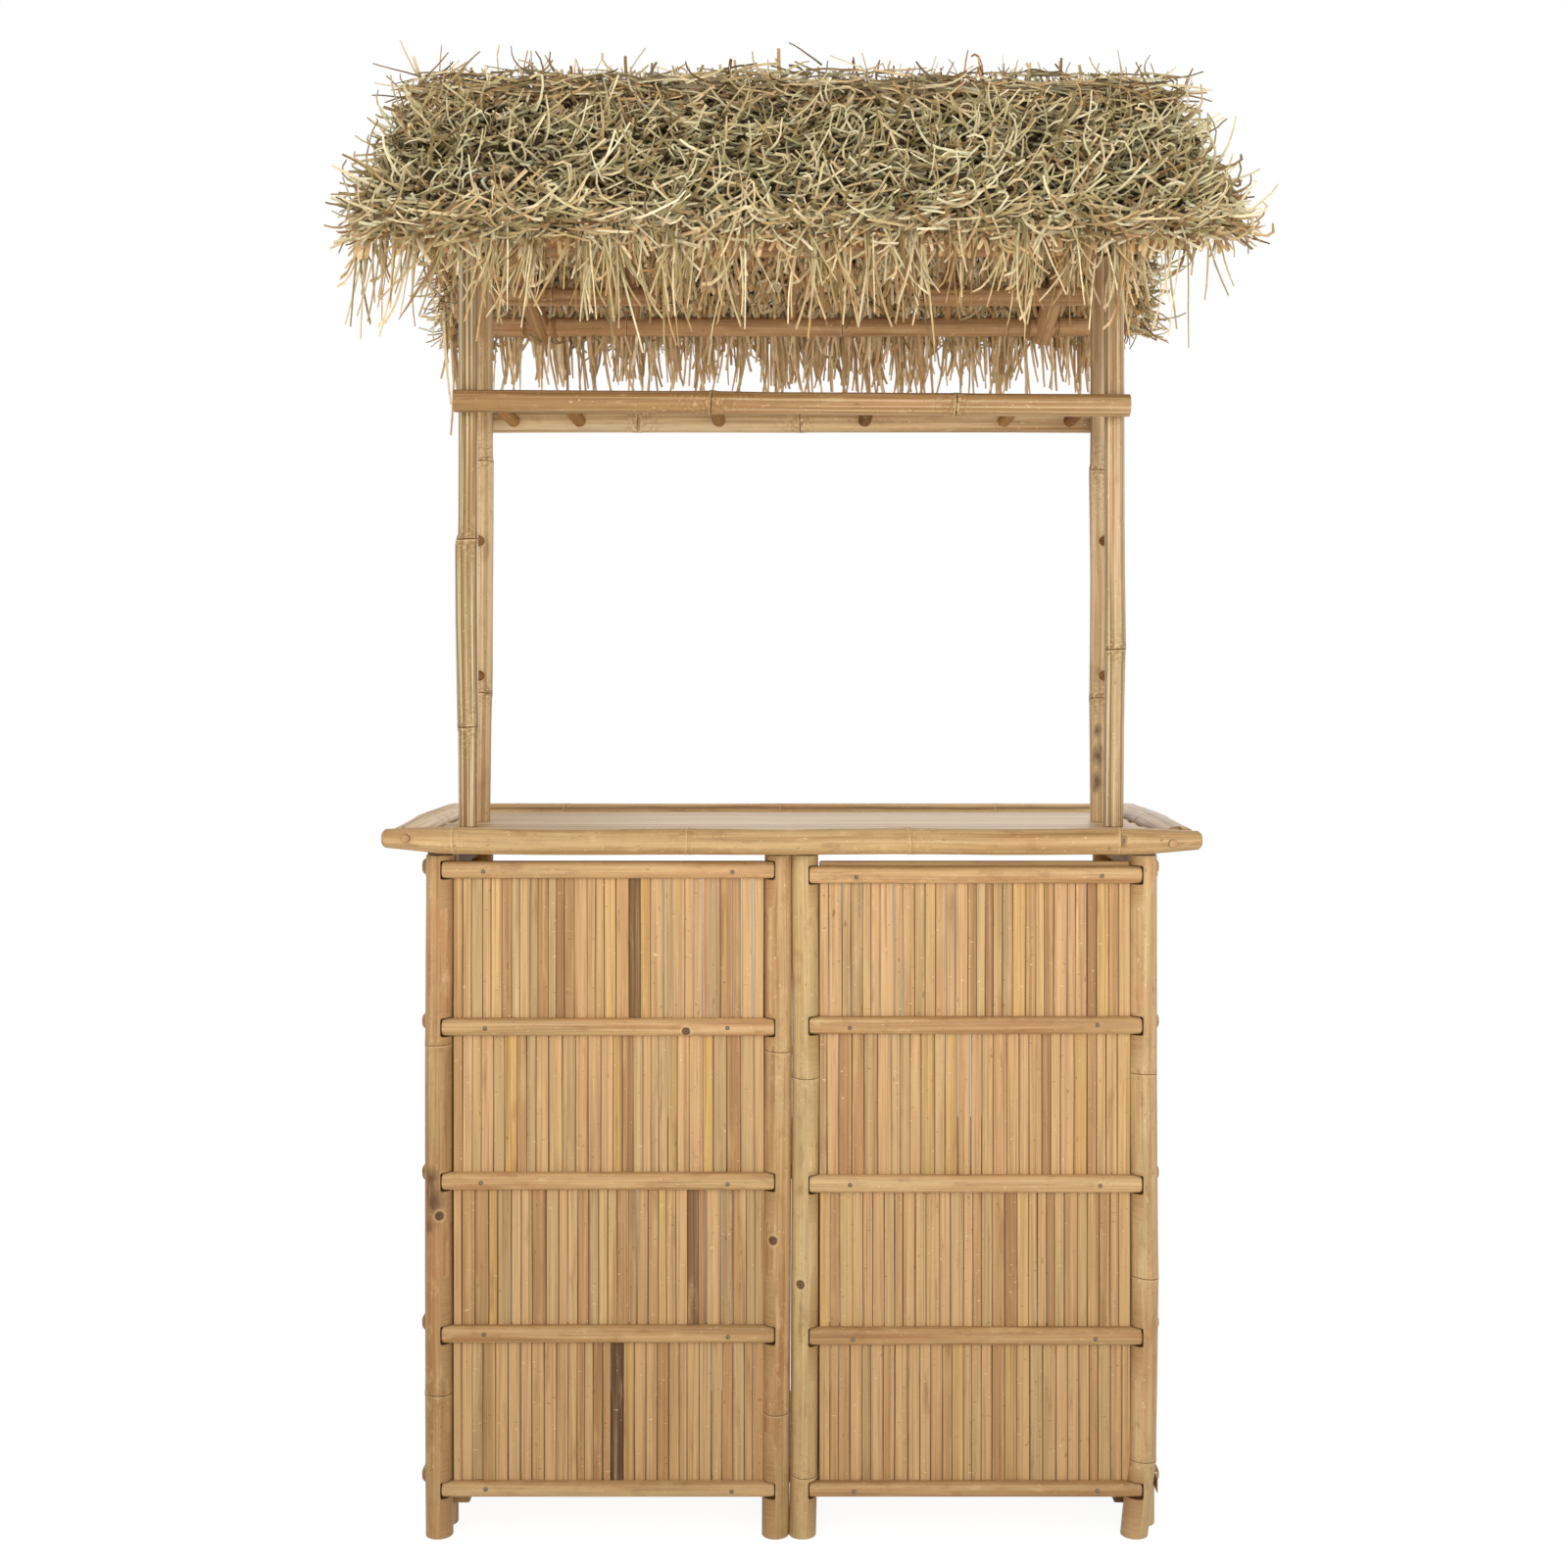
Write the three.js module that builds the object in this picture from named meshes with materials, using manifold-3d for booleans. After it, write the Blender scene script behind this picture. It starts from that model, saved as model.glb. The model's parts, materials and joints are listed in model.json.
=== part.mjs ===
// Bamboo tiki bar hut: a screened bar base with hinged side screens, a slatted counter with
// four uprights and a rack, and a thatched gable roof that drops over the uprights.
// Millimetres, +Z up, the front faces -Y, the origin is on the floor under the ridge.
import * as THREE from 'three';
import { mergeVertices } from 'three/addons/utils/BufferGeometryUtils.js';
import Module from 'manifold-3d';

const wasm = await Module();
wasm.setup();

// Driving dimensions of the base
const BASE_HEIGHT = 1018.5;
const POST_RADIUS = 20;
const PAIR_GAP = 1;
const CORNER_X = 528;
const FRONT_Y = -117.5;
const WING_DEPTH = 320;
const SEAT_GAP = 0.3;

// Driving dimensions of the battens and slats
const BATTEN_HEIGHT = 26;
const BATTEN_DEPTH = 12.5;
const BATTEN_END_INSET = 5.5;
const NOTCH_CLEARANCE = 0.6;
const TOP_BATTEN_DROP = 21.5;
const BOTTOM_BATTEN_Z = 71.5;
const BATTEN_LEVEL_SHARES = [0, 0.2539, 0.503, 0.7499, 1];
const FRONT_BATTEN_PROUD = -1;
const WING_BATTEN_PROUD = 7;
const WING_BATTEN_BITE = 2;
const SLAT_WIDTH = 17.3;
const SLAT_THICKNESS = 5;
const SLAT_GROOVE = 1.5;
const SLAT_TOP_MARGIN = 8;
const SLAT_FOOT_MARGIN = 6;
const RAIL_DEPTH = 12;
const RAIL_HEIGHT = 24;
const LEDGER_DEPTH = 54;
const LEDGER_LEVELS = [2, 4];

// Driving dimensions of the shelves
const SHELF_THICKNESS = 8;
const SHELF_REAR_INSET = 43.5;
const SHELF_SIDE_CLEARANCE = 3;
const SHELF_POST_CLEARANCE = 1.5;
const SHELF_BEARER_WIDTH = 26;
const SHELF_BEARER_HEIGHT = 18;
const SHELF_BEARER_SHARES = [-0.8, 0, 0.8];

// Driving dimensions of the side screens' hinges
const HINGE_HEIGHT = 22;
const LEAF_WIDTH = 20;
const LEAF_THICKNESS = 1.2;
const KNUCKLE_RADIUS = 2.6;
const PIN_RADIUS = 1.2;
const PIN_CLEARANCE = 0.15;
const HINGE_LEVELS = { top: 0, bottom: 4 };

// Driving dimensions of the counter
const FRONT_RIM_RADIUS = 19.5;
const FRONT_RIM_OVERHANG = 40.5;
const FRONT_RIM_DROP = 15;
const FRONT_RIM_END = 29;
const REAR_RIM_RADIUS = 18;
const REAR_RIM_OVERHANG = 64.5;
const REAR_RIM_DROP = 5;
const REAR_RIM_END = 24;
const SIDE_RIM_HALF_WIDTH = 30;
const SIDE_RIM_HALF_HEIGHT = 15.5;
const SIDE_RIM_GAP = 1.5;
const SIDE_RIM_DROP = 1;
const RIM_END_ROUND = 14;
const DECK_THICKNESS = 8;
const DECK_OVERHANG = 17;
const DECK_BEARER_WIDTH = 30;
const DECK_BEARER_HEIGHT = 30.2;
const DECK_BEARER_SHARES = [-1, 0, 1];

// Driving dimensions of the upper frame
const UPRIGHT_INSET = 32;
const UPRIGHT_Y = 57.5;
const FRONT_UPRIGHT_RADIUS = 15.5;
const REAR_UPRIGHT_RADIUS = 17;
const SIDE_RUNG_RADIUS = 8;
const SIDE_RUNG_LIFTS = { upper: 446, lower: 232 };
const BEAM_RADIUS = 17;
const BEAM_LIFT = 642;
const BEAM_END = 15.5;
const RACK_RUNG_RADIUS = 10;
const RACK_RUNG_SHARES = [-0.874, -0.667, -0.229, 0.229, 0.667, 0.874];

// Driving dimensions of the roof
const RIDGE_LIFT = 461;
const RIDGE_RADIUS = 17;
const RIDGE_LENGTH = 1120;
const ROOF_RUN = 300;
const ROOF_RISE = 262;
const EAVE_RADIUS = 16;
const EAVE_LENGTH = 1100;
const EAVE_ALONG = 419;
const PURLIN_RADIUS = 7.5;
const PURLIN_LENGTH = 1060;
const PURLIN_ALONG = 272;
const THIN_RAFTER_RADIUS = 7.5;
const THIN_RAFTER_SHARES = [-0.528, 0, 0.528];
const GABLE_RAFTER_RADIUS = 18;
const GABLE_RAFTER_TOP_OUTSET = 14;
const GABLE_RAFTER_FOOT_INSET = 64;
const RAFTER_FOOT_ALONG = 442;
const STUB_RADIUS = 15;
const STUB_INNER_X = 222;
const STUB_OUTER_X = 500;
const STUB_ALONG = 330;
const RAFTER_BED = 1.4;
const THATCH_WIDTH = 1220;
const THATCH_ALONG = 515;
const THATCH_THICKNESS = 30;

// Driving dimensions of the thatch's strands
const STRAND_WIDTH = 9;
const STRAND_ROOT_DEPTH = 6;
const FRINGE_COUNT = 60;
const FRINGE_LENGTH = 95;
const FRINGE_SPREAD = 26;
const TUFT_ROWS = 3;
const TUFTS_IN_ROW = 24;
const TUFT_LENGTH = 110;
const TUFT_RISE = 30;
const END_COUNT = 10;
const END_LENGTH = 58;
const END_DROOP = 30;
const LENGTH_SPREAD_SHARE = 0.25;
const LEAN_SHARE = 1 / 3;
const TUFT_ROW_START_SHARE = 0.4;
const SWAY_TURNS = { fast: 2.4, slow: 0.7 };

// Joint shapes of the culms and the fineness of round faces
const NODE_RISE = 0.6;
const NODE_HALF = 3;
const CULM_SIDES = 12;
const FRAME_SIDES = 8;
const ROUND_STEPS = 3;
const ARC_STEPS = 4;
const MERGE_DISTANCE = 0.001;
const OVERRUN = 50;

// Places worked out from the driving dimensions
const MIDDLE_X = POST_RADIUS + PAIR_GAP / 2;
const PANEL_SPACING = CORNER_X - MIDDLE_X;
const PANEL_X = (CORNER_X + MIDDLE_X) / 2;
const WING_FRONT_Y = FRONT_Y + 2 * POST_RADIUS + PAIR_GAP;
const WING_Y = WING_FRONT_Y + WING_DEPTH / 2;
const WING_REAR_Y = WING_FRONT_Y + WING_DEPTH;
const TOP_BATTEN_Z = BASE_HEIGHT - TOP_BATTEN_DROP;
const BATTEN_SPAN = TOP_BATTEN_Z - BOTTOM_BATTEN_Z;
const BATTEN_Z = BATTEN_LEVEL_SHARES.map((share) => TOP_BATTEN_Z - BATTEN_SPAN * share);
const DECK_BOTTOM_Z = BASE_HEIGHT + SEAT_GAP + DECK_BEARER_HEIGHT;
const DECK_TOP_Z = DECK_BOTTOM_Z + DECK_THICKNESS;
const DECK_SIDE_X = CORNER_X + DECK_OVERHANG;
const SIDE_RIM_X = DECK_SIDE_X + SIDE_RIM_GAP + SIDE_RIM_HALF_WIDTH;
const FRONT_RIM_Y = FRONT_Y - FRONT_RIM_OVERHANG;
const REAR_RIM_Y = WING_REAR_Y + REAR_RIM_OVERHANG;
const UPRIGHT_X = CORNER_X - UPRIGHT_INSET;
const BEAM_Z = DECK_TOP_Z + BEAM_LIFT;
const GABLE_RAFTER_TOP_X = UPRIGHT_X + GABLE_RAFTER_TOP_OUTSET;
const GABLE_RAFTER_FOOT_X = UPRIGHT_X - GABLE_RAFTER_FOOT_INSET;
const SLOPE = Math.atan2(ROOF_RISE, ROOF_RUN);
const RIDGE_Z = BEAM_Z + RIDGE_LIFT;
const PLANE_TOP_Z = RIDGE_Z + GABLE_RAFTER_RADIUS / Math.cos(SLOPE);

const FINISHES = {
  culm: { color: 0xd0ab74, roughness: 0.55 },
  batten: { color: 0xcaa268, roughness: 0.55 },
  slat: { color: 0xc69c63, roughness: 0.6 },
  deck: { color: 0xd2b084, roughness: 0.6 },
  thatch: { color: 0xb3a878, roughness: 0.9 },
  steel: { color: 0x8f8c86, roughness: 0.4, metalness: 0.9 },
};

function toSolid(geometry) {
  const bare = geometry.clone();
  bare.deleteAttribute('normal');
  bare.deleteAttribute('uv');
  const merged = mergeVertices(bare, MERGE_DISTANCE);
  const corners = Array.from(merged.index.array);
  const kept = [];
  for (let at = 0; at < corners.length; at += 3) {
    const [a, b, c] = corners.slice(at, at + 3);
    if (a !== b && b !== c && c !== a) kept.push(a, b, c);
  }
  return new wasm.Manifold(new wasm.Mesh({
    numProp: 3,
    vertProperties: new Float32Array(merged.attributes.position.array),
    triVerts: new Uint32Array(kept),
  }));
}

function toGeometry(solid) {
  const mesh = solid.getMesh();
  const geometry = new THREE.BufferGeometry();
  geometry.setAttribute('position', new THREE.BufferAttribute(mesh.vertProperties, 3));
  geometry.setIndex(new THREE.BufferAttribute(mesh.triVerts, 1));
  geometry.computeVertexNormals();
  return geometry;
}

function part(name, finish, geometry) {
  const mesh = new THREE.Mesh(geometry, new THREE.MeshStandardMaterial(FINISHES[finish]));
  mesh.name = name;
  return mesh;
}

// A box given by its middle and its three sizes
function block(sizes, middle) {
  return toSolid(new THREE.BoxGeometry(...sizes).translate(...middle));
}

// A bamboo culm standing on the origin, with a raised ring at each node
function culm(length, radius, nodeShares = [], endRound = 0, sides = CULM_SIDES) {
  const outline = [new THREE.Vector2(0, 0)];
  const rounds = endRound > 0 ? ROUND_STEPS : 1;
  const ring = (across, up) => outline.push(new THREE.Vector2(across, up));
  for (let step = 1; step <= rounds; step += 1) {
    const turn = (step / rounds) * Math.PI / 2;
    ring(radius * Math.sin(turn), endRound * (1 - Math.cos(turn)));
  }
  for (const share of nodeShares) {
    ring(radius, length * share - NODE_HALF);
    ring(radius + NODE_RISE, length * share);
    ring(radius, length * share + NODE_HALF);
  }
  for (let step = rounds; step >= 1; step -= 1) {
    const turn = (step / rounds) * Math.PI / 2;
    ring(radius * Math.sin(turn), length - endRound * (1 - Math.cos(turn)));
  }
  ring(0, length);
  return new THREE.LatheGeometry(outline, sides).rotateX(Math.PI / 2);
}

// Turns and moves a culm made by culm() so that it starts at one point and runs towards another
function aim(object, start, end) {
  const along = new THREE.Vector3().subVectors(end, start).normalize();
  object.quaternion.setFromUnitVectors(new THREE.Vector3(0, 0, 1), along);
  object.position.copy(start);
  return object;
}

// A culm from one point to another, which a widening over 1 flattens into an oval across X
function pole(name, finish, start, end, radius, nodeShares, endRound, widening = 1) {
  const shape = culm(start.distanceTo(end), radius, nodeShares, endRound).scale(widening, 1, 1);
  return aim(part(name, finish, shape), start, end);
}

function poleSolid(start, end, radius, sides = FRAME_SIDES) {
  const holder = aim(new THREE.Object3D(), start, end);
  holder.updateMatrix();
  return toSolid(culm(start.distanceTo(end), radius, [], 0, sides).applyMatrix4(holder.matrix));
}

const point = (x, y, z) => new THREE.Vector3(x, y, z);

// A half-round batten along X: its flat back lies at y = 0 and it bulges towards -Y
function battenSolid(length, grow) {
  const half = BATTEN_HEIGHT / 2 + grow;
  const straight = length / 2 + grow - half;
  const plan = new THREE.Shape();
  plan.absarc(straight, 0, half, -Math.PI / 2, Math.PI / 2, false);
  plan.absarc(-straight, 0, half, Math.PI / 2, 1.5 * Math.PI, false);
  const slab = new THREE.ExtrudeGeometry(plan, {
    depth: BATTEN_DEPTH + 2 * grow, bevelEnabled: false, curveSegments: ARC_STEPS,
  });
  slab.rotateX(Math.PI / 2).translate(0, grow, 0);
  const section = new THREE.Shape();
  section.absellipse(0, 0, BATTEN_DEPTH + grow, half, -Math.PI / 2, Math.PI / 2, false, 0);
  section.lineTo(-grow, half);
  section.lineTo(-grow, -half);
  const bulge = new THREE.ExtrudeGeometry(section, {
    depth: length + 2 * OVERRUN, bevelEnabled: false, curveSegments: ARC_STEPS,
  });
  bulge.translate(0, 0, -length / 2 - OVERRUN);
  const basis = new THREE.Matrix4().makeBasis(point(0, -1, 0), point(0, 0, 1), point(-1, 0, 0));
  return toSolid(slab).intersect(toSolid(bulge.applyMatrix4(basis)));
}

// A sheet of split-bamboo slats side by side along X, standing up along Z, crowned towards -Y
function slatSheet(width, height, thickness) {
  const count = Math.max(1, Math.round(width / SLAT_WIDTH));
  const pitch = width / count;
  const outline = new THREE.Shape();
  outline.moveTo(-width / 2, thickness);
  for (let slat = 0; slat < count; slat += 1) {
    const left = -width / 2 + slat * pitch;
    outline.lineTo(left, SLAT_GROOVE);
    outline.lineTo(left + pitch / 2, 0);
  }
  outline.lineTo(width / 2, SLAT_GROOVE);
  outline.lineTo(width / 2, thickness);
  return new THREE.ExtrudeGeometry(outline, { depth: height, bevelEnabled: false });
}

// A slat sheet laid flat: its slats run along X, its width lies along Y and its crowns face up
function floorSheet(length, fromY, toY, topZ, thickness) {
  const sheet = slatSheet(toY - fromY, length, thickness).translate(0, 0, -length / 2);
  const basis = new THREE.Matrix4().makeBasis(point(0, 1, 0), point(0, 0, -1), point(-1, 0, 0));
  return toSolid(sheet.applyMatrix4(basis).translate(0, (fromY + toY) / 2, topZ));
}

// One screen between two posts, in its own frame: X along the screen, -Y outwards, Z up
function screenFrame(spacing, proud) {
  const backY = -(POST_RADIUS + proud) + BATTEN_DEPTH;
  const length = spacing - 2 * BATTEN_END_INSET;
  const battens = BATTEN_Z.map((z) => battenSolid(length, 0).translate([0, backY, z]));
  const notches = BATTEN_Z.map((z) => battenSolid(length, NOTCH_CLEARANCE).translate([0, backY, z]));
  return { backY, battens, notches };
}

function screenSheet(spacing, frontY, ledgerLevels) {
  const width = spacing - 2 * (POST_RADIUS + NODE_RISE + SEAT_GAP);
  const footZ = BOTTOM_BATTEN_Z - BATTEN_HEIGHT / 2 + SLAT_FOOT_MARGIN;
  const topZ = TOP_BATTEN_Z + BATTEN_HEIGHT / 2 - SLAT_TOP_MARGIN;
  let sheet = toSolid(slatSheet(width, topZ - footZ, SLAT_THICKNESS).translate(0, frontY, footZ));
  BATTEN_Z.forEach((z, level) => {
    const depth = ledgerLevels.includes(level) ? LEDGER_DEPTH : RAIL_DEPTH;
    const sunk = (SLAT_THICKNESS - SLAT_GROOVE) / 2;
    const middleY = frontY + SLAT_THICKNESS + (depth - sunk) / 2;
    sheet = sheet.add(block([width, depth + sunk, RAIL_HEIGHT], [0, middleY, z]));
  });
  return sheet;
}

function notchedPost(nodeShares, x, notches) {
  let post = toSolid(culm(BASE_HEIGHT, POST_RADIUS, nodeShares).translate(x, 0, 0));
  for (const notch of notches) post = post.subtract(notch);
  return toGeometry(post);
}

// Front: two screens side by side, each between two posts of its own
const FRONT_POST_NODE_SHARES = {
  left: { outer: [0.2155, 0.725], inner: [0.19, 0.7147] },
  right: { inner: [0.0953, 0.6775], outer: [0.1138, 0.3857, 0.682] },
};

function frontScreen(side, sign) {
  const group = new THREE.Group();
  const { backY, battens, notches } = screenFrame(PANEL_SPACING, FRONT_BATTEN_PROUD);
  const nodes = FRONT_POST_NODE_SHARES[side];
  const outerX = sign * PANEL_SPACING / 2;
  group.add(part(`front_${side}_corner_post`, 'culm', notchedPost(nodes.outer, outerX, notches)));
  group.add(part(`front_${side}_middle_post`, 'culm', notchedPost(nodes.inner, -outerX, notches)));
  const sheet = screenSheet(PANEL_SPACING, backY + SEAT_GAP, []);
  group.add(part(`front_${side}_slats`, 'slat', toGeometry(sheet)));
  battens.forEach((batten, level) => {
    group.add(part(`front_${side}_batten_${level + 1}`, 'batten', toGeometry(batten)));
  });
  group.position.set(sign * PANEL_X, FRONT_Y, 0);
  return group;
}

// Side screens: each stands behind a corner post and swings outwards on two butt hinges
const WING_POST_NODE_SHARES = { front: [0.35, 0.78], rear: [0.22, 0.66] };
const WING_TURN = { left: -Math.PI / 2, right: Math.PI / 2 };

function wing(side, sign) {
  const group = new THREE.Group();
  const { backY, battens, notches } = screenFrame(WING_DEPTH, WING_BATTEN_PROUD);
  const frontX = -sign * WING_DEPTH / 2;
  const posts = { front: frontX, rear: -frontX };
  for (const [place, x] of Object.entries(posts)) {
    const post = notchedPost(WING_POST_NODE_SHARES[place], x, notches);
    group.add(part(`${side}_wing_${place}_post`, 'culm', post));
  }
  let screen = screenSheet(WING_DEPTH, backY - WING_BATTEN_BITE, LEDGER_LEVELS);
  for (const batten of battens) screen = screen.add(batten);
  group.add(part(`${side}_wing_screen`, 'slat', toGeometry(screen)));
  group.rotation.z = WING_TURN[side];
  group.position.set(sign * CORNER_X, WING_Y, 0);
  return group;
}

// Hinges: axis upright, outside the seam between a corner post and a side screen's front post
const LEAF_X = CORNER_X + POST_RADIUS + SEAT_GAP;
const HINGE_X = LEAF_X + KNUCKLE_RADIUS;
const HINGE_Y = (FRONT_Y + WING_FRONT_Y) / 2;
const KNUCKLE_HEIGHT = (HINGE_HEIGHT - 2 * SEAT_GAP) / 3;

function knuckle(z, height, bore) {
  const ring = new THREE.Shape();
  ring.absarc(0, 0, KNUCKLE_RADIUS, 0, 2 * Math.PI, false);
  if (bore > 0) {
    const hole = new THREE.Path();
    hole.absarc(0, 0, bore, 0, 2 * Math.PI, true);
    ring.holes.push(hole);
  }
  const shape = new THREE.ExtrudeGeometry(ring, {
    depth: height, bevelEnabled: false, curveSegments: ARC_STEPS,
  });
  return toSolid(shape.translate(0, 0, z));
}

// A leaf in the hinge's frame: it reaches from the knuckle along Y and lies against the posts at -X
function leafPlate(direction, fromZ, height) {
  const middleX = LEAF_THICKNESS / 2 - KNUCKLE_RADIUS;
  const start = KNUCKLE_RADIUS + SEAT_GAP;
  const middleY = direction * (start + LEAF_WIDTH) / 2;
  return block([LEAF_THICKNESS, LEAF_WIDTH - start, height], [middleX, middleY, fromZ + height / 2]);
}

// The short tongue that joins a leaf's plate to one of its knuckles
function leafTongue(direction, fromZ, bore) {
  const middleX = LEAF_THICKNESS / 2 - KNUCKLE_RADIUS;
  const reach = KNUCKLE_RADIUS + 2 * SEAT_GAP;
  const tongue = block([LEAF_THICKNESS, reach, KNUCKLE_HEIGHT],
    [middleX, direction * reach / 2, fromZ + KNUCKLE_HEIGHT / 2]);
  return bore > 0 ? tongue.subtract(knucklePin(bore)) : tongue;
}

function knucklePin(radius) {
  return toSolid(new THREE.CylinderGeometry(radius, radius, HINGE_HEIGHT, CULM_SIDES)
    .rotateX(Math.PI / 2).translate(0, 0, HINGE_HEIGHT / 2));
}

function hinge(side, sign, place, level) {
  const group = new THREE.Group();
  const pitch = KNUCKLE_HEIGHT + SEAT_GAP;
  let fixed = leafPlate(-1, 0, HINGE_HEIGHT).add(knucklePin(PIN_RADIUS));
  for (const z of [0, 2 * pitch]) {
    fixed = fixed.add(knuckle(z, KNUCKLE_HEIGHT, 0)).add(leafTongue(-1, z, 0));
  }
  const bore = PIN_RADIUS + PIN_CLEARANCE;
  const moving = leafPlate(1, 0, HINGE_HEIGHT).add(leafTongue(1, pitch, bore))
    .add(knuckle(pitch, KNUCKLE_HEIGHT, bore));
  const turned = sign < 0 ? [-1, 1, 1] : [1, 1, 1];
  const handed = (leaf) => toGeometry(leaf.scale(turned));
  group.add(part(`${side}_${place}_hinge_post_leaf`, 'steel', handed(fixed)));
  group.add(part(`${side}_${place}_hinge_wing_leaf`, 'steel', handed(moving)));
  group.position.set(sign * HINGE_X, HINGE_Y, BATTEN_Z[level] - HINGE_HEIGHT / 2);
  return group;
}

// Shelves: slatted boards that lie on the front rails and on the side screens' ledgers
function shelf(name, level, posts) {
  const bottomZ = BATTEN_Z[level] + RAIL_HEIGHT / 2 + SEAT_GAP;
  const halfWidth = CORNER_X - POST_RADIUS - SHELF_SIDE_CLEARANCE;
  const shelfRearY = WING_REAR_Y - SHELF_REAR_INSET;
  const topZ = bottomZ + SHELF_THICKNESS;
  let board = floorSheet(2 * halfWidth, FRONT_Y, shelfRearY, topZ, SHELF_THICKNESS);
  const bearerFrom = FRONT_Y + POST_RADIUS + SHELF_POST_CLEARANCE;
  for (const share of SHELF_BEARER_SHARES) {
    const sizes = [SHELF_BEARER_WIDTH, shelfRearY - bearerFrom, SHELF_BEARER_HEIGHT + SHELF_THICKNESS / 2];
    const middleZ = bottomZ + SHELF_THICKNESS / 2 - sizes[2] / 2;
    board = board.add(block(sizes, [share * halfWidth, (shelfRearY + bearerFrom) / 2, middleZ]));
  }
  for (const x of posts) {
    const clear = culm(BASE_HEIGHT, POST_RADIUS + SHELF_POST_CLEARANCE).translate(x, FRONT_Y, 0);
    board = board.subtract(toSolid(clear));
  }
  return part(name, 'deck', toGeometry(board));
}

// Counter: a slatted deck on three bearers, framed by four rim poles
const RIM_NODE_SHARES = {
  counter_front_rim: [0.092, 0.372, 0.638, 0.87],
  counter_rear_rim: [0.17, 0.48, 0.79],
  counter_left_rim: [0.45],
  counter_right_rim: [0.45],
};

function counter() {
  const group = new THREE.Group();
  const frontEdge = FRONT_RIM_Y + FRONT_RIM_RADIUS + NODE_RISE + SEAT_GAP;
  const rearEdge = REAR_RIM_Y - REAR_RIM_RADIUS - NODE_RISE - SEAT_GAP;
  let deck = floorSheet(2 * DECK_SIDE_X, frontEdge, rearEdge, DECK_TOP_Z, DECK_THICKNESS);
  const bearerHeight = DECK_BEARER_HEIGHT + DECK_THICKNESS / 2;
  const bearerZ = DECK_BOTTOM_Z - DECK_BEARER_HEIGHT + bearerHeight / 2;
  for (const share of DECK_BEARER_SHARES) {
    deck = deck.add(block([DECK_BEARER_WIDTH, rearEdge - frontEdge, bearerHeight],
      [share * CORNER_X, (rearEdge + frontEdge) / 2, bearerZ]));
  }
  group.add(part('counter_deck', 'deck', toGeometry(deck)));
  const alongX = (name, halfLength, y, z, radius) => pole(name, 'culm', point(-halfLength, y, z),
    point(halfLength, y, z), radius, RIM_NODE_SHARES[name], RIM_END_ROUND);
  group.add(alongX('counter_front_rim', SIDE_RIM_X + FRONT_RIM_END, FRONT_RIM_Y,
    DECK_TOP_Z - FRONT_RIM_DROP, FRONT_RIM_RADIUS));
  group.add(alongX('counter_rear_rim', SIDE_RIM_X + REAR_RIM_END, REAR_RIM_Y,
    DECK_TOP_Z - REAR_RIM_DROP, REAR_RIM_RADIUS));
  for (const [side, sign] of [['left', -1], ['right', 1]]) {
    const name = `counter_${side}_rim`;
    const [x, z] = [sign * SIDE_RIM_X, DECK_TOP_Z - SIDE_RIM_DROP];
    group.add(pole(name, 'culm', point(x, frontEdge, z), point(x, rearEdge, z), SIDE_RIM_HALF_HEIGHT,
      RIM_NODE_SHARES[name], 0, SIDE_RIM_HALF_WIDTH / SIDE_RIM_HALF_HEIGHT));
  }
  return group;
}

// Height of the rafters' underside over a place on the gable rafter's line
function rafterUndersideZ(y) {
  return RIDGE_Z - Math.abs(y) * Math.tan(SLOPE) - GABLE_RAFTER_RADIUS / Math.cos(SLOPE);
}

// Upper frame: four uprights on the deck, side rungs, two beams and the rack's rungs
const UPRIGHTS = {
  front: { sign: -1, radius: FRONT_UPRIGHT_RADIUS, nodeShares: { left: [0.31, 0.503], right: [0.265] } },
  rear: { sign: 1, radius: REAR_UPRIGHT_RADIUS, nodeShares: { left: [0.34, 0.56], right: [0.335, 0.553] } },
};
const BEAM_NODE_SHARES = { front: [0.377, 0.743], rear: [0.24, 0.64] };

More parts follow.
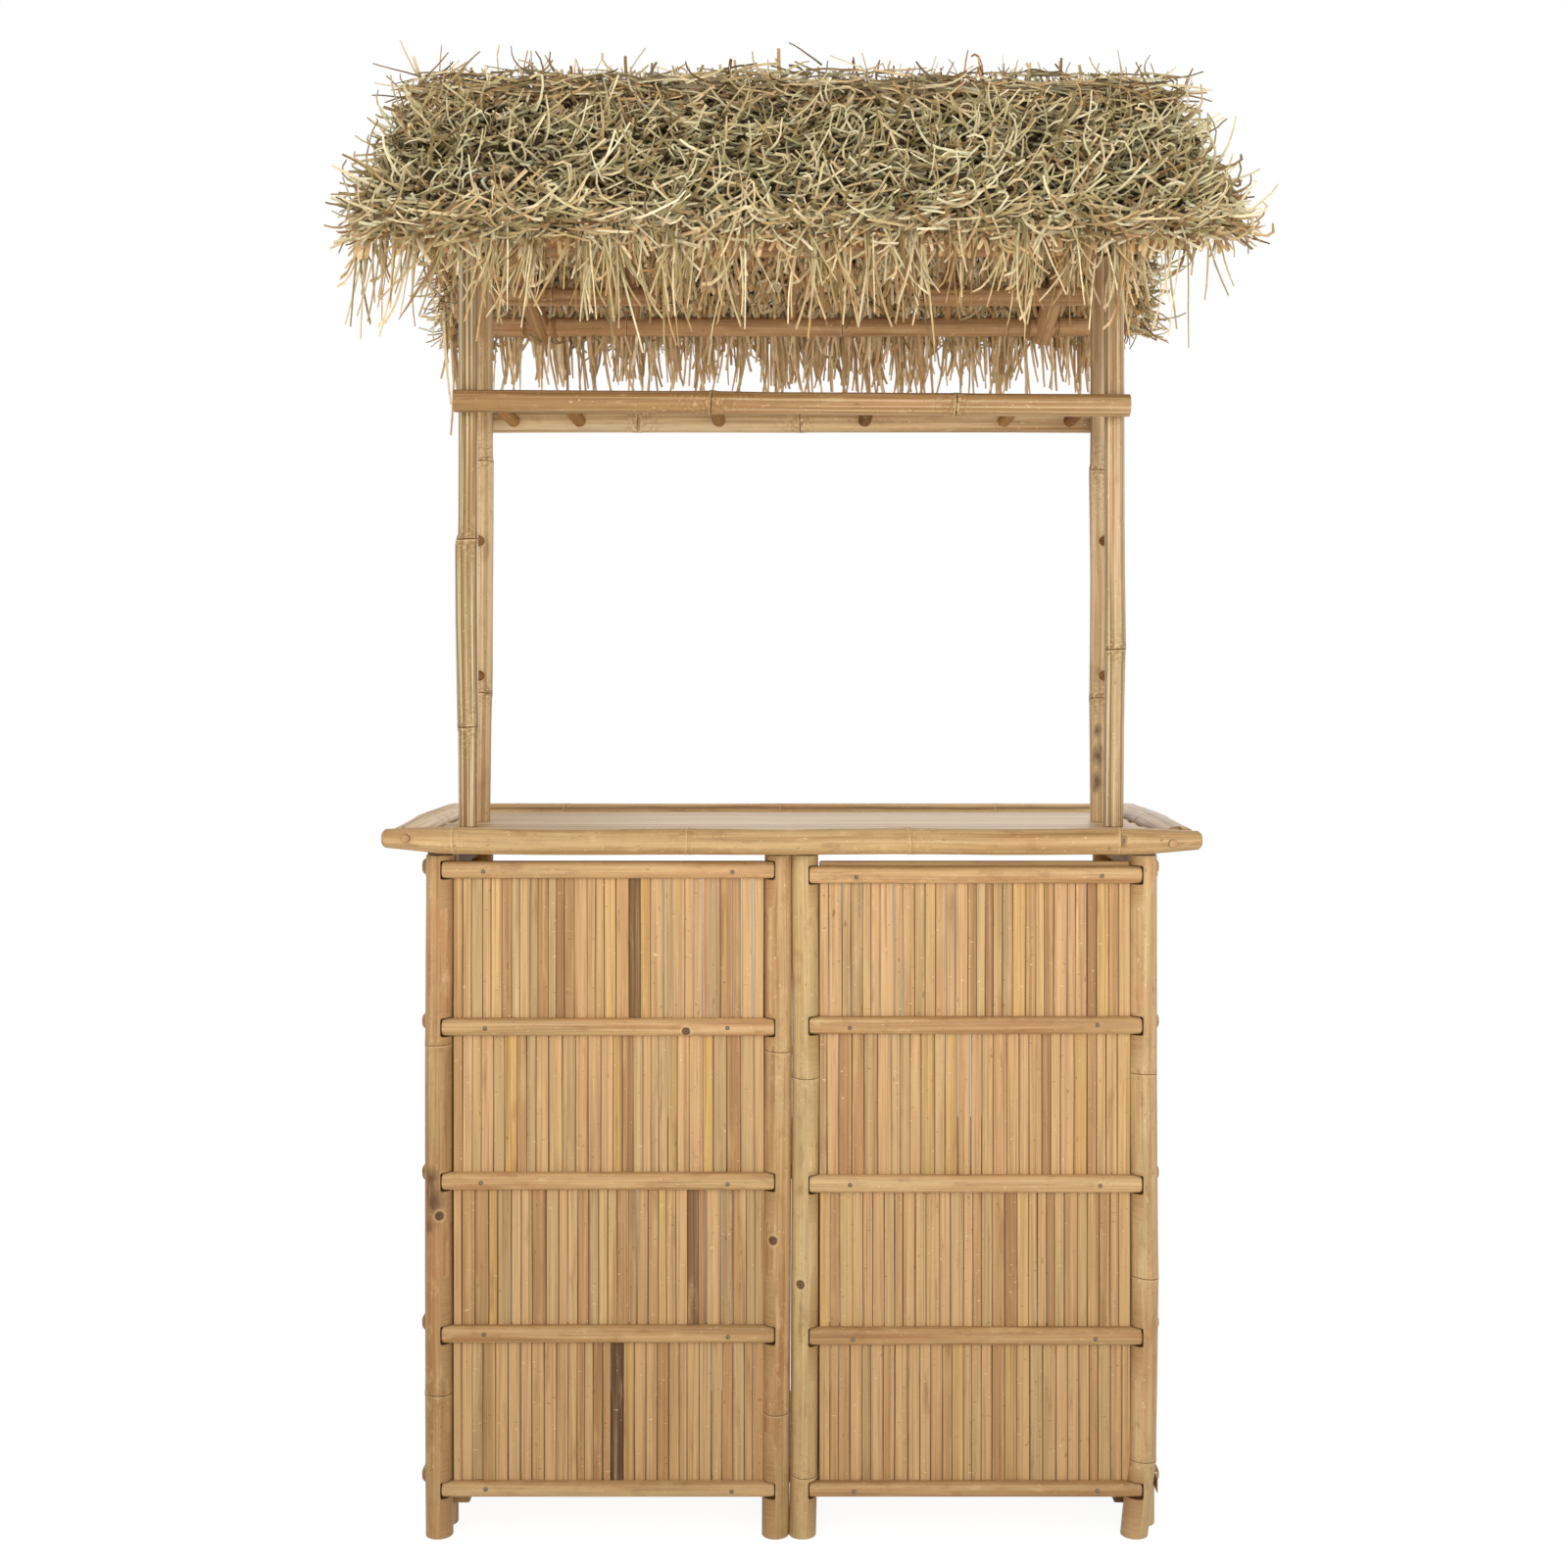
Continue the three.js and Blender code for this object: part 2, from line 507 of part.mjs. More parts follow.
function upperFrame() {
  const group = new THREE.Group();
  const footZ = DECK_TOP_Z + SEAT_GAP;
  for (const [side, sign] of [['left', -1], ['right', 1]]) {
    const x = sign * UPRIGHT_X;
    for (const [place, upright] of Object.entries(UPRIGHTS)) {
      const topZ = rafterUndersideZ(UPRIGHT_Y + upright.radius + NODE_RISE) + RAFTER_BED - SEAT_GAP;
      const y = upright.sign * UPRIGHT_Y;
      group.add(pole(`${side}_${place}_upright`, 'culm', point(x, y, footZ), point(x, y, topZ),
        upright.radius, upright.nodeShares[side], 0));
    }
    for (const [place, lift] of Object.entries(SIDE_RUNG_LIFTS)) {
      const z = DECK_TOP_Z + lift;
      const reach = (radius) => UPRIGHT_Y - radius - SEAT_GAP;
      group.add(pole(`${side}_${place}_rung`, 'culm', point(x, -reach(FRONT_UPRIGHT_RADIUS), z),
        point(x, reach(REAR_UPRIGHT_RADIUS), z), SIDE_RUNG_RADIUS, [], 0));
    }
  }
  const beamY = (radius) => UPRIGHT_Y + radius + NODE_RISE + SEAT_GAP + BEAM_RADIUS;
  const frontY = -beamY(FRONT_UPRIGHT_RADIUS);
  const rearY = beamY(REAR_UPRIGHT_RADIUS);
  const beamReach = UPRIGHT_X + BEAM_END;
  for (const [place, y] of Object.entries({ front: frontY, rear: rearY })) {
    group.add(pole(`${place}_beam`, 'culm', point(-beamReach, y, BEAM_Z), point(beamReach, y, BEAM_Z),
      BEAM_RADIUS, BEAM_NODE_SHARES[place], 0));
  }
  RACK_RUNG_SHARES.forEach((share, index) => {
    const x = share * beamReach;
    const edge = BEAM_RADIUS + NODE_RISE + SEAT_GAP;
    group.add(pole(`rack_rung_${index + 1}`, 'culm', point(x, frontY + edge, BEAM_Z),
      point(x, rearY - edge, BEAM_Z), RACK_RUNG_RADIUS, [], 0));
  });
  return group;
}

// A place on a roof slope: x, distance down the slope from the ridge, height over the rafters' tops
function onSlope(sign, x, along, lift) {
  const across = along * Math.cos(SLOPE) + lift * Math.sin(SLOPE);
  const up = PLANE_TOP_Z - along * Math.sin(SLOPE) + lift * Math.cos(SLOPE);
  return point(x, sign * across, up);
}

const RIDGE_NODE_SHARES = [0.22, 0.53, 0.81];

// Roof frame of one slope: eave pole, purlin and rafters, coped round the ridge pole
function roofFrame(name, sign, ridge) {
  const across = (length, along, radius) => poleSolid(onSlope(sign, -length / 2, along, -radius),
    onSlope(sign, length / 2, along, -radius), radius);
  const ridgeAlong = GABLE_RAFTER_RADIUS * Math.tan(SLOPE) + RIDGE_RADIUS / 2;
  const rafter = (topX, footX, radius) => poleSolid(onSlope(sign, topX, ridgeAlong, -radius),
    onSlope(sign, footX, RAFTER_FOOT_ALONG, -radius), radius);
  let frame = across(EAVE_LENGTH, EAVE_ALONG, EAVE_RADIUS);
  frame = frame.add(across(PURLIN_LENGTH, PURLIN_ALONG, PURLIN_RADIUS));
  for (const share of THIN_RAFTER_SHARES) {
    frame = frame.add(rafter(share * GABLE_RAFTER_TOP_X, share * GABLE_RAFTER_TOP_X, THIN_RAFTER_RADIUS));
  }
  for (const side of [-1, 1]) {
    frame = frame.add(rafter(side * GABLE_RAFTER_TOP_X, side * GABLE_RAFTER_FOOT_X, GABLE_RAFTER_RADIUS));
  }
  const otherSlope = block([EAVE_LENGTH, 2 * ROOF_RUN, 2 * ROOF_RUN],
    [0, sign * (SEAT_GAP / 2 - ROOF_RUN), RIDGE_Z]);
  return part(name, 'culm', toGeometry(frame.subtract(ridge).subtract(otherSlope)));
}

// One strand: a three-sided blade that bends once on its way from root to tip; side, up and the way
// from root to bend form a right-handed set
function strand(root, bend, tip, side, up) {
  const corners = (middle) => [0, 1, 2].map((corner) => {
    const turn = (corner / 3) * 2 * Math.PI;
    return middle.clone().addScaledVector(side, (STRAND_WIDTH / 2) * Math.cos(turn))
      .addScaledVector(up, (STRAND_WIDTH / 2) * Math.sin(turn));
  });
  const points = [...corners(root), ...corners(bend), tip];
  const faces = [0, 2, 1];
  for (const corner of [0, 1, 2]) {
    const next = (corner + 1) % 3;
    faces.push(corner, next, next + 3, corner, next + 3, corner + 3, corner + 3, next + 3, 6);
  }
  const blade = new THREE.BufferGeometry();
  const places = new Float32Array(points.flatMap((place) => place.toArray()));
  blade.setAttribute('position', new THREE.BufferAttribute(places, 3));
  blade.setIndex(faces);
  return toSolid(blade);
}

// A steady, repeatable spread from -1 to 1 for the strand with this number
function sway(number) {
  return Math.sin(number * SWAY_TURNS.fast) * Math.cos(number * SWAY_TURNS.slow);
}

// The strands of the rear slope; the front slope is the same thatch turned half round
function fringeStrands() {
  const pitch = THATCH_WIDTH / FRINGE_COUNT;
  return Array.from({ length: FRINGE_COUNT }, (unused, number) => {
    const x = (number + 0.5 - FRINGE_COUNT / 2) * pitch;
    const length = FRINGE_LENGTH * (1 + LENGTH_SPREAD_SHARE * sway(number));
    const root = onSlope(1, x, THATCH_ALONG - STRAND_ROOT_DEPTH, THATCH_THICKNESS / 3);
    const bend = root.clone().add(point(0, FRINGE_SPREAD / 2, -length / 2));
    const tip = root.clone().add(point(pitch * sway(number + 1) * LEAN_SHARE, FRINGE_SPREAD / 2, -length));
    return strand(root, bend, tip, point(1, 0, 0), point(0, -1, 0));
  });
}

function tuftStrands() {
  const strands = [];
  const pitch = THATCH_WIDTH / TUFTS_IN_ROW;
  const normal = point(0, Math.sin(SLOPE), Math.cos(SLOPE));
  for (let row = 0; row < TUFT_ROWS; row += 1) {
    const along = (THATCH_ALONG * (row + TUFT_ROW_START_SHARE)) / TUFT_ROWS;
    for (let number = 0; number < TUFTS_IN_ROW; number += 1) {
      const x = (number + 0.5 - TUFTS_IN_ROW / 2) * pitch;
      const length = TUFT_LENGTH * (1 + LENGTH_SPREAD_SHARE * sway(number + row));
      const lean = pitch * sway(number * 2 + row) * LEAN_SHARE;
      const root = onSlope(1, x, along, THATCH_THICKNESS - STRAND_ROOT_DEPTH);
      const bend = onSlope(1, x + lean / 2, along + length / 2, THATCH_THICKNESS + TUFT_RISE);
      const tip = onSlope(1, x + lean, along + length, THATCH_THICKNESS + TUFT_RISE);
      strands.push(strand(root, bend, tip, normal, point(1, 0, 0)));
    }
  }
  return strands;
}

function endStrands() {
  const strands = [];
  for (const side of [-1, 1]) {
    for (let number = 0; number < END_COUNT; number += 1) {
      const along = (THATCH_ALONG * (number + 0.5)) / END_COUNT;
      const length = END_LENGTH * (1 + LENGTH_SPREAD_SHARE * (sway(number) - 1));
      const edge = side * (THATCH_WIDTH / 2 - STRAND_ROOT_DEPTH);
      const root = onSlope(1, edge, along, THATCH_THICKNESS / 2);
      const bend = root.clone().add(point(side * length / 2, 0, 0));
      const tip = root.clone().add(point(side * length, 0, -END_DROOP));
      strands.push(strand(root, bend, tip, point(0, side, 0), point(0, 0, 1)));
    }
  }
  return strands;
}

// Thatch of one slope: a mat on the rafters' tops with strands rooted in its faces
function thatch(name, sign) {
  const outline = new THREE.Shape();
  const ridgeUp = (lift) => PLANE_TOP_Z + lift / Math.cos(SLOPE);
  const edges = [onSlope(1, 0, THATCH_ALONG, SEAT_GAP), onSlope(1, 0, THATCH_ALONG, THATCH_THICKNESS)];
  outline.moveTo(SEAT_GAP / 2, ridgeUp(SEAT_GAP));
  for (const edge of edges) outline.lineTo(edge.y, edge.z);
  outline.lineTo(SEAT_GAP / 2, ridgeUp(THATCH_THICKNESS));
  const slab = new THREE.ExtrudeGeometry(outline, { depth: THATCH_WIDTH, bevelEnabled: false });
  slab.translate(0, 0, -THATCH_WIDTH / 2);
  const basis = new THREE.Matrix4().makeBasis(point(0, 1, 0), point(0, 0, 1), point(1, 0, 0));
  let mat = toSolid(slab.applyMatrix4(basis));
  for (const blade of [...fringeStrands(), ...tuftStrands(), ...endStrands()]) mat = mat.add(blade);
  const mesh = part(name, 'thatch', toGeometry(mat));
  mesh.rotation.z = sign > 0 ? 0 : Math.PI;
  return mesh;
}

function roof() {
  const group = new THREE.Group();
  const ridgeEnds = [point(-RIDGE_LENGTH / 2, 0, RIDGE_Z), point(RIDGE_LENGTH / 2, 0, RIDGE_Z)];
  group.add(pole('ridge_pole', 'culm', ...ridgeEnds, RIDGE_RADIUS,
    RIDGE_NODE_SHARES, 0));
  const ridge = poleSolid(...ridgeEnds, RIDGE_RADIUS + NODE_RISE + SEAT_GAP, CULM_SIDES);
  group.add(roofFrame('front_roof_frame', -1, ridge));
  group.add(roofFrame('rear_roof_frame', 1, ridge));
  const under = RAFTER_BED - (2 * GABLE_RAFTER_RADIUS + STUB_RADIUS + SEAT_GAP);
  for (const [side, sign] of [['left', -1], ['right', 1]]) {
    group.add(pole(`rear_${side}_short_pole`, 'culm', onSlope(1, sign * STUB_INNER_X, STUB_ALONG, under),
      onSlope(1, sign * STUB_OUTER_X, STUB_ALONG, under), STUB_RADIUS, [], 0));
  }
  group.add(thatch('front_thatch', -1));
  group.add(thatch('rear_thatch', 1));
  return group;
}

const hut = new THREE.Group();
for (const [side, sign] of [['left', -1], ['right', 1]]) {
  hut.add(frontScreen(side, sign));
  hut.add(wing(side, sign));
  for (const [place, level] of Object.entries(HINGE_LEVELS)) hut.add(hinge(side, sign, place, level));
}
const shelfPosts = [-CORNER_X, -MIDDLE_X, MIDDLE_X, CORNER_X];
hut.add(shelf('upper_shelf', LEDGER_LEVELS[0], shelfPosts));
hut.add(shelf('lower_shelf', LEDGER_LEVELS[1], shelfPosts));
hut.add(counter());
hut.add(upperFrame());
hut.add(roof());

export default hut;
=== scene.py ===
# %% [markdown]
# # A bamboo tiki bar hut
# This lesson dresses a finished construction model of a bamboo bar: two slatted screens and two side
# screens carry a counter, four uprights carry a rack, and a thatched roof sits on top.
# The construction model is loaded first as a fixed frame. It says where every piece is, how large it
# is and what it moves with, so each new piece below takes its place from the frame and only adds looks.

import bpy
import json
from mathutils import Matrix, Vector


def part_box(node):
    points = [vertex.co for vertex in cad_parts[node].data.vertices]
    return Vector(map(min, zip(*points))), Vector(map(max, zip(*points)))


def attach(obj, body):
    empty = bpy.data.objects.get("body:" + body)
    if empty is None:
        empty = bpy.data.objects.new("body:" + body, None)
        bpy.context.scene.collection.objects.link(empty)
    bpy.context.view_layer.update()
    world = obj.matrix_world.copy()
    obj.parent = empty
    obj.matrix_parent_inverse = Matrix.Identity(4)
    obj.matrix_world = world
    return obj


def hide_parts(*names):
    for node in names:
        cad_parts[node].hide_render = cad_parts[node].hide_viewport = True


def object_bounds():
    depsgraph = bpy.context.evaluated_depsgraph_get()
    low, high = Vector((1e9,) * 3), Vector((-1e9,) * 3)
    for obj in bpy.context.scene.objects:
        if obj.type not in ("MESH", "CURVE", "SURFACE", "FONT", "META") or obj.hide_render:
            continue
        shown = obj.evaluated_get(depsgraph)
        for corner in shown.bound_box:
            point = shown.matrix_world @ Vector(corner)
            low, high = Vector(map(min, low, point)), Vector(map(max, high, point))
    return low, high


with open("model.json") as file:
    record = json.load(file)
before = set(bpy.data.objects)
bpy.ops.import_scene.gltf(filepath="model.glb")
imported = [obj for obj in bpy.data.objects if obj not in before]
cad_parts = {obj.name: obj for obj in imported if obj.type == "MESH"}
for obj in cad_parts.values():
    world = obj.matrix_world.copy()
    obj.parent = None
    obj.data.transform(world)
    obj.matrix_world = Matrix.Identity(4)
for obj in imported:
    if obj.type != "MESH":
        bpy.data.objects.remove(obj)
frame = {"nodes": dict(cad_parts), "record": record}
cad_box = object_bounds()

# %% [markdown]
# ## Tools and shared values
# Lengths are written in millimetres times MM, because Blender counts in metres. Every random choice
# below starts from one seed, so the bar comes out the same each time. Which moving body a frame node
# belongs to is looked up here once, because every new piece has to move with the node it dresses.

# %% Tools and shared values
import json
import math
import random

import bmesh
import bpy
import numpy as np
from mathutils import Matrix, Vector

MM = 0.001
NODE_RISE = 0.6 * MM
SEED = 7
BODY_OF = {
    node: body
    for body, nodes in frame["record"]["behaviour"]["bodies"].items()
    for node in nodes
}
X_AXIS = Vector((1, 0, 0))
Z_AXIS = Vector((0, 0, 1))
print("seed", SEED, "for every random draw")

# %% [markdown]
# ## Camera
# The photograph was taken level, from straight in front, a little under three metres away. A level
# camera keeps upright posts parallel, and the lens shift then slides the picture up and sideways
# instead of tilting the camera. Tilting would be simpler, but the posts would lean together.

# %% Camera
CAMERA_PLACE = (0.0, -2.8175, 1.26)
CAMERA_LENS = 41.3
CAMERA_SHIFT = (-0.005, -0.0575)

camera_data = bpy.data.cameras.new("camera")
camera_data.lens = CAMERA_LENS
camera_data.sensor_width = 36
camera_data.shift_x, camera_data.shift_y = CAMERA_SHIFT
camera = bpy.data.objects.new("camera", camera_data)
camera.location = CAMERA_PLACE
camera.rotation_euler = (math.pi / 2, 0, 0)
bpy.context.scene.collection.objects.link(camera)
bpy.context.scene.camera = camera
print("camera at", CAMERA_PLACE, "lens", CAMERA_LENS)

# %% [markdown]
# ## Shader helpers
# Every finish below is built from nodes. A few small helpers keep that readable: they add a node and
# set its values, turn a noise into a soft mask, mix two colours by a mask, or darken by one. Bamboo
# has grain that runs along each culm whichever way the culm points, so the patterns don't read world
# coordinates: each piece carries a "grain" attribute, its own length, width and depth in metres.

# %% Shader helpers
def add_node(tree, kind, inputs=None, **settings):
    item = tree.nodes.new(kind)
    for key, value in settings.items():
        setattr(item, key, value)
    for key, value in (inputs or {}).items():
        if isinstance(value, bpy.types.NodeSocket):
            tree.links.new(value, item.inputs[key])
        else:
            item.inputs[key].default_value = value
    return item


def new_material(name):
    material = bpy.data.materials.new(name)
    material.use_nodes = True
    tree = material.node_tree
    return material, tree, tree.nodes["Principled BSDF"]


def attribute(tree, name, output="Fac"):
    return add_node(tree, "ShaderNodeAttribute", attribute_name=name).outputs[output]


def stretched_noise(tree, vector, scale, detail=4.0, roughness=0.55):
    """Noise whose spots are drawn out: scale is how many spots fit in a metre each way."""
    mapping = add_node(tree, "ShaderNodeMapping", {"Vector": vector, "Scale": scale})
    noise = add_node(tree, "ShaderNodeTexNoise", {
        "Vector": mapping.outputs["Vector"], "Scale": 1.0, "Detail": detail, "Roughness": roughness})
    return noise.outputs["Fac"]


def ramp(tree, value, stops):
    """A colour or grey ramp: stops are (place, colour) with colour a number or three numbers."""
    item = add_node(tree, "ShaderNodeValToRGB", {"Fac": value})
    elements = item.color_ramp.elements
    while len(elements) < len(stops):
        elements.new(0.5)
    for element, (place, colour) in zip(elements, stops):
        element.position = place
        levels = (colour,) * 3 if isinstance(colour, (int, float)) else colour
        element.color = (*levels, 1.0)
    return item.outputs["Color"]


def blend_colours(tree, mask, first, second, how="MIX"):
    item = add_node(tree, "ShaderNodeMix", data_type="RGBA", blend_type=how)
    for socket, value in ((item.inputs[0], mask), (item.inputs[6], first), (item.inputs[7], second)):
        if isinstance(value, bpy.types.NodeSocket):
            tree.links.new(value, socket)
        elif isinstance(value, (int, float)):
            socket.default_value = value
        else:
            socket.default_value = (*value, 1.0)
    return item.outputs[2]


def tint(tree, colour, value, stops, other):
    """Mixes another colour in wherever the ramp of a value says so."""
    return blend_colours(tree, ramp(tree, value, stops), colour, other)


def shade_by(tree, share, colour, value, stops):
    """Multiplies a colour by the ramp of a value, by this share."""
    return blend_colours(tree, share, colour, ramp(tree, value, stops), "MULTIPLY")


def object_places(tree):
    return add_node(tree, "ShaderNodeTexCoord").outputs["Object"]


def absolute(tree, value):
    return add_node(tree, "ShaderNodeMath", {0: value}, operation="ABSOLUTE").outputs[0]


def vector_math(tree, operation, *values, output=0):
    inputs = dict(enumerate(values))
    return add_node(tree, "ShaderNodeVectorMath", inputs, operation=operation).outputs[output]


def times(tree, first, second, operation="MULTIPLY"):
    return add_node(tree, "ShaderNodeMath", {0: first, 1: second}, operation=operation).outputs[0]


def plug_in(tree, shader, colour, rough, relief, strength, depth):
    """Plugs colour, roughness and a bump of this strength and depth into the shader."""
    tree.links.new(colour, shader.inputs["Base Color"])
    tree.links.new(rough, shader.inputs["Roughness"])
    bump = add_node(tree, "ShaderNodeBump", {"Height": relief, "Strength": strength, "Distance": depth})
    tree.links.new(bump.outputs["Normal"], shader.inputs["Normal"])


def srgb(red, green, blue):
    """A colour as it looks on a screen, from 0 to 255, turned into the shader's linear values."""
    def linear(value):
        share = value / 255
        return share / 12.92 if share <= 0.04045 else ((share + 0.055) / 1.055) ** 2.4
    return tuple(linear(value) for value in (red, green, blue))


print("shader helpers ready")

# %% [markdown]
# ## The bamboo culm finish
# Dried bamboo is honey-coloured, with fine fibres drawn out along the culm, wider paler and darker
# bands, a drift of green or pink, small pale scuffs and dark flecks. Around each node runs a dark
# groove beside a pale ridge. A photo texture would show one culm over and over. Noise stretched along
# the grain gives each culm its own marks, and attributes painted on the mesh place the node rings.
# The marks that one culm has and another doesn't, such as a stain, a bud's scar or a thin dark line, are
# small helpers of their own, which measure how far each place on the piece is from the mark.

# %% Single marks on a culm
LINE_WOBBLE = 4 * MM


def darker_below(tree, colour):
    """Darkens a finish a little towards the floor: painted shade where the light is lower, and the dust
    that gathers there.
    """
    height = add_node(tree, "ShaderNodeSeparateXYZ", {"Vector": object_places(tree)}).outputs["Z"]
    return shade_by(tree, 1.0, colour, height, [(0.05, 0.86), (0.7, 1.0)])


def stained(tree, colour, place, size):
    """A dark brown stain of about this size round one place on the piece, with a ragged edge."""
    spot = object_places(tree)
    away = vector_math(tree, "SUBTRACT", spot, place)
    flat = vector_math(tree, "MULTIPLY", away, (1, 1, 0.55))
    far = vector_math(tree, "LENGTH", flat, output="Value")
    ragged = times(tree, stretched_noise(tree, spot, (90, 90, 40), 4, 0.6), size * 1.1)
    near = times(tree, times(tree, far, ragged, "ADD"), 0.5 / size)
    return tint(tree, colour, near, [(0.3, 0.85), (0.62, 0.0)], srgb(82, 52, 34))


def scarred(tree, colour, place, size):
    """A bud scar: a dark brown oval round one place on the piece, in a paler ring."""
    spot = object_places(tree)
    far = vector_math(tree, "LENGTH", vector_math(tree, "SUBTRACT", spot, place), output="Value")
    rough = times(tree, stretched_noise(tree, spot, (420, 420, 420), 3, 0.6), 0.25)
    near = times(tree, times(tree, far, 0.5 / size), rough, "ADD")
    colour = tint(tree, colour, near, [(0.58, 0.0), (0.7, 0.4), (0.95, 0.0)], srgb(224, 190, 138))
    core = [(0.15, 1.0), (0.3, 0.8), (0.5, 0.95), (0.64, 0.0)]
    return tint(tree, colour, near, core, srgb(80, 50, 32))


def lined(tree, colour, axis, distance):
    """A thin dark line along a piece, wherever it is this far from the middle plane of that axis."""
    spot = object_places(tree)
    parts = add_node(tree, "ShaderNodeSeparateXYZ", {0: spot})
    away = absolute(tree, parts.outputs[axis])
    wobble = times(tree, stretched_noise(tree, spot, (9, 9, 9), 2), LINE_WOBBLE)
    gap = times(tree, times(tree, away, wobble, "ADD"), distance + LINE_WOBBLE / 2, "SUBTRACT")
    return tint(tree, colour, absolute(tree, gap), [(0.0006, 0.75), (0.002, 0.0)], srgb(96, 66, 38))


print("stains, bud scars and thin lines are ready")

# %% [markdown]
# ## The finish itself
# Three colours give the ground, from light to dark, and the noises lay green and pink drifts, mottling,
# fibres, scuffs and specks over it. The settings then say how a kind of culm differs: how green,
# striped or glossy it is, how dark its node rings are and how worn it is beside them.

# %% Bamboo culm finish
def bamboo_material(name, light, middle, dark, green=0.35, gloss=0.42, flecks=1.0, stripes=0.0, rings=1.0,
                    collars=0.3, shine=0.3, stains=(), scars=(), line=None):
    """A culm's finish from three ground colours, with single marks at places on the piece."""
    material, tree, shader = new_material(name)
    grain = attribute(tree, "grain", "Vector")
    tone = attribute(tree, "tone")
    ring = attribute(tree, "ring")
    fibres = stretched_noise(tree, grain, (420, 420, 6), 6, 0.6)
    bands = stretched_noise(tree, grain, (95, 95, 2.2), 3)
    drift = stretched_noise(tree, grain, (16, 16, 3.5), 2)
    mottle = stretched_noise(tree, grain, (60, 60, 24), 5, 0.62)
    level = times(tree, times(tree, bands, 0.85), times(tree, tone, 0.3), "ADD")
    colour = ramp(tree, level, [(0.36, dark), (0.55, middle), (0.76, light)])
    colour = tint(tree, colour, drift, [(0.48, 0.0), (0.68, green)], srgb(172, 152, 104))
    colour = tint(tree, colour, drift, [(0.3, 0.35), (0.45, 0.0)], srgb(188, 132, 86))
    colour = tint(tree, colour, mottle, [(0.54, 0.0), (0.72, 0.5)], srgb(150, 104, 60))
    colour = tint(tree, colour, mottle, [(0.28, 0.45), (0.42, 0.0)], srgb(224, 194, 144))
    # Pale and dark stripes along the grain: partly the culm's own streaks, partly painted highlights on
    # the ridges of its flutes and painted shade in their grooves.
    if stripes:
        streaks = stretched_noise(tree, grain, (210, 210, 0.8), 2, 0.5)
        colour = tint(tree, colour, streaks, [(0.54, 0.0), (0.6, stripes)], srgb(240, 222, 184))
        colour = tint(tree, colour, streaks, [(0.4, stripes), (0.46, 0.0)], srgb(144, 112, 68))
    colour = shade_by(tree, 0.85, colour, fibres, [(0.3, 0.66), (0.5, 0.98), (0.75, 1.12)])
    scuffs = stretched_noise(tree, grain, (260, 260, 120), 2, 0.5)
    colour = tint(tree, colour, scuffs, [(0.69, 0.0), (0.74, 0.6 * flecks)], srgb(238, 218, 178))
    specks = stretched_noise(tree, grain, (330, 330, 150), 1, 0.4)
    colour = tint(tree, colour, specks, [(0.22, 0.6 * flecks), (0.27, 0.0)], srgb(96, 60, 32))
    for place, size in stains:
        colour = stained(tree, colour, place, size)
    for place, size in scars:
        colour = scarred(tree, colour, place, size)
    if line:
        colour = lined(tree, colour, *line)
    collar = attribute(tree, "collar")
    patches = stretched_noise(tree, grain, (150, 150, 240), 3, 0.6)
    worn = times(tree, collar, ramp(tree, patches, [(0.46, 0.0), (0.62, 0.8 * collars)]))
    colour = blend_colours(tree, worn, colour, srgb(136, 96, 54))
    bare = times(tree, collar, ramp(tree, patches, [(0.3, 0.7 * collars), (0.46, 0.0)]))
    colour = blend_colours(tree, bare, colour, srgb(232, 206, 156))
    colour = tint(tree, colour, ring, [(0.05, 0.0), (0.9, 0.95 * rings)], srgb(84, 54, 28))
    colour = tint(tree, colour, times(tree, ring, -1.0), [(0.1, 0.0), (1.0, 0.5)], srgb(232, 204, 150))
    colour = blend_colours(tree, attribute(tree, "cut"), colour, srgb(126, 88, 52))
    colour = blend_colours(tree, attribute(tree, "notch"), colour, srgb(112, 78, 46))
    shader.inputs["Specular IOR Level"].default_value = shine
    rough = ramp(tree, fibres, [(0.3, gloss + 0.16), (0.7, gloss)])
    relief = times(tree, fibres, times(tree, mottle, 0.7), "ADD")
    # Painted shade and dust, darker towards the floor.
    plug_in(tree, shader, darker_below(tree, colour), rough, relief, 0.35, 0.9 * MM)
    return material


culm_finish = bamboo_material("bamboo_culm", srgb(216, 183, 132), srgb(200, 160, 109), srgb(168, 123, 75))
culm_warm_finish = bamboo_material("bamboo_culm_warm", srgb(206, 164, 114), srgb(186, 142, 94),
                                   srgb(148, 102, 60), green=0.15)
batten_finish = bamboo_material("bamboo_batten", srgb(216, 180, 128), srgb(203, 163, 111),
                                srgb(174, 129, 80), green=0.25, flecks=0.7,
                                scars=[((-0.1577, -0.1365, 0.7566), 0.007)])
print("finishes:", [m.name for m in bpy.data.materials if m.name.startswith("bamboo")])

# %% [markdown]
# ## Culms
# A bamboo culm is a hollow tube with a swelling at every node: a sharp scar ridge, a groove, and a
# rounder ridge above it. It could be a curve with a bevel, but a curve can't swell at chosen places.
# Here it starts as a cylinder, bisect cuts rings at the nodes and between them, and each ring is then
# scaled or nudged, as one would do by hand. The open ends are inset and pushed in to show the wall.
# An operator acts on all that is selected, so the first helpers let go of everything, select one
# piece, or select vertices and faces by where they are. Others read and write a mesh's numbers.

# %% Selecting by place
def let_go():
    if bpy.context.object and bpy.context.object.mode != "OBJECT":
        bpy.ops.object.mode_set(mode="OBJECT")
    bpy.ops.object.select_all(action="DESELECT")


def pick_only(piece):
    let_go()
    piece.select_set(True)
    bpy.context.view_layer.objects.active = piece


def apply_place(piece):
    """Writes a piece's place, turn and size into its mesh, so that the object sits at the origin."""
    pick_only(piece)
    bpy.ops.object.transform_apply(location=True, rotation=True, scale=True)


def smooth(piece, angle=40):
    pick_only(piece)
    bpy.ops.object.shade_smooth_by_angle(angle=math.radians(angle))


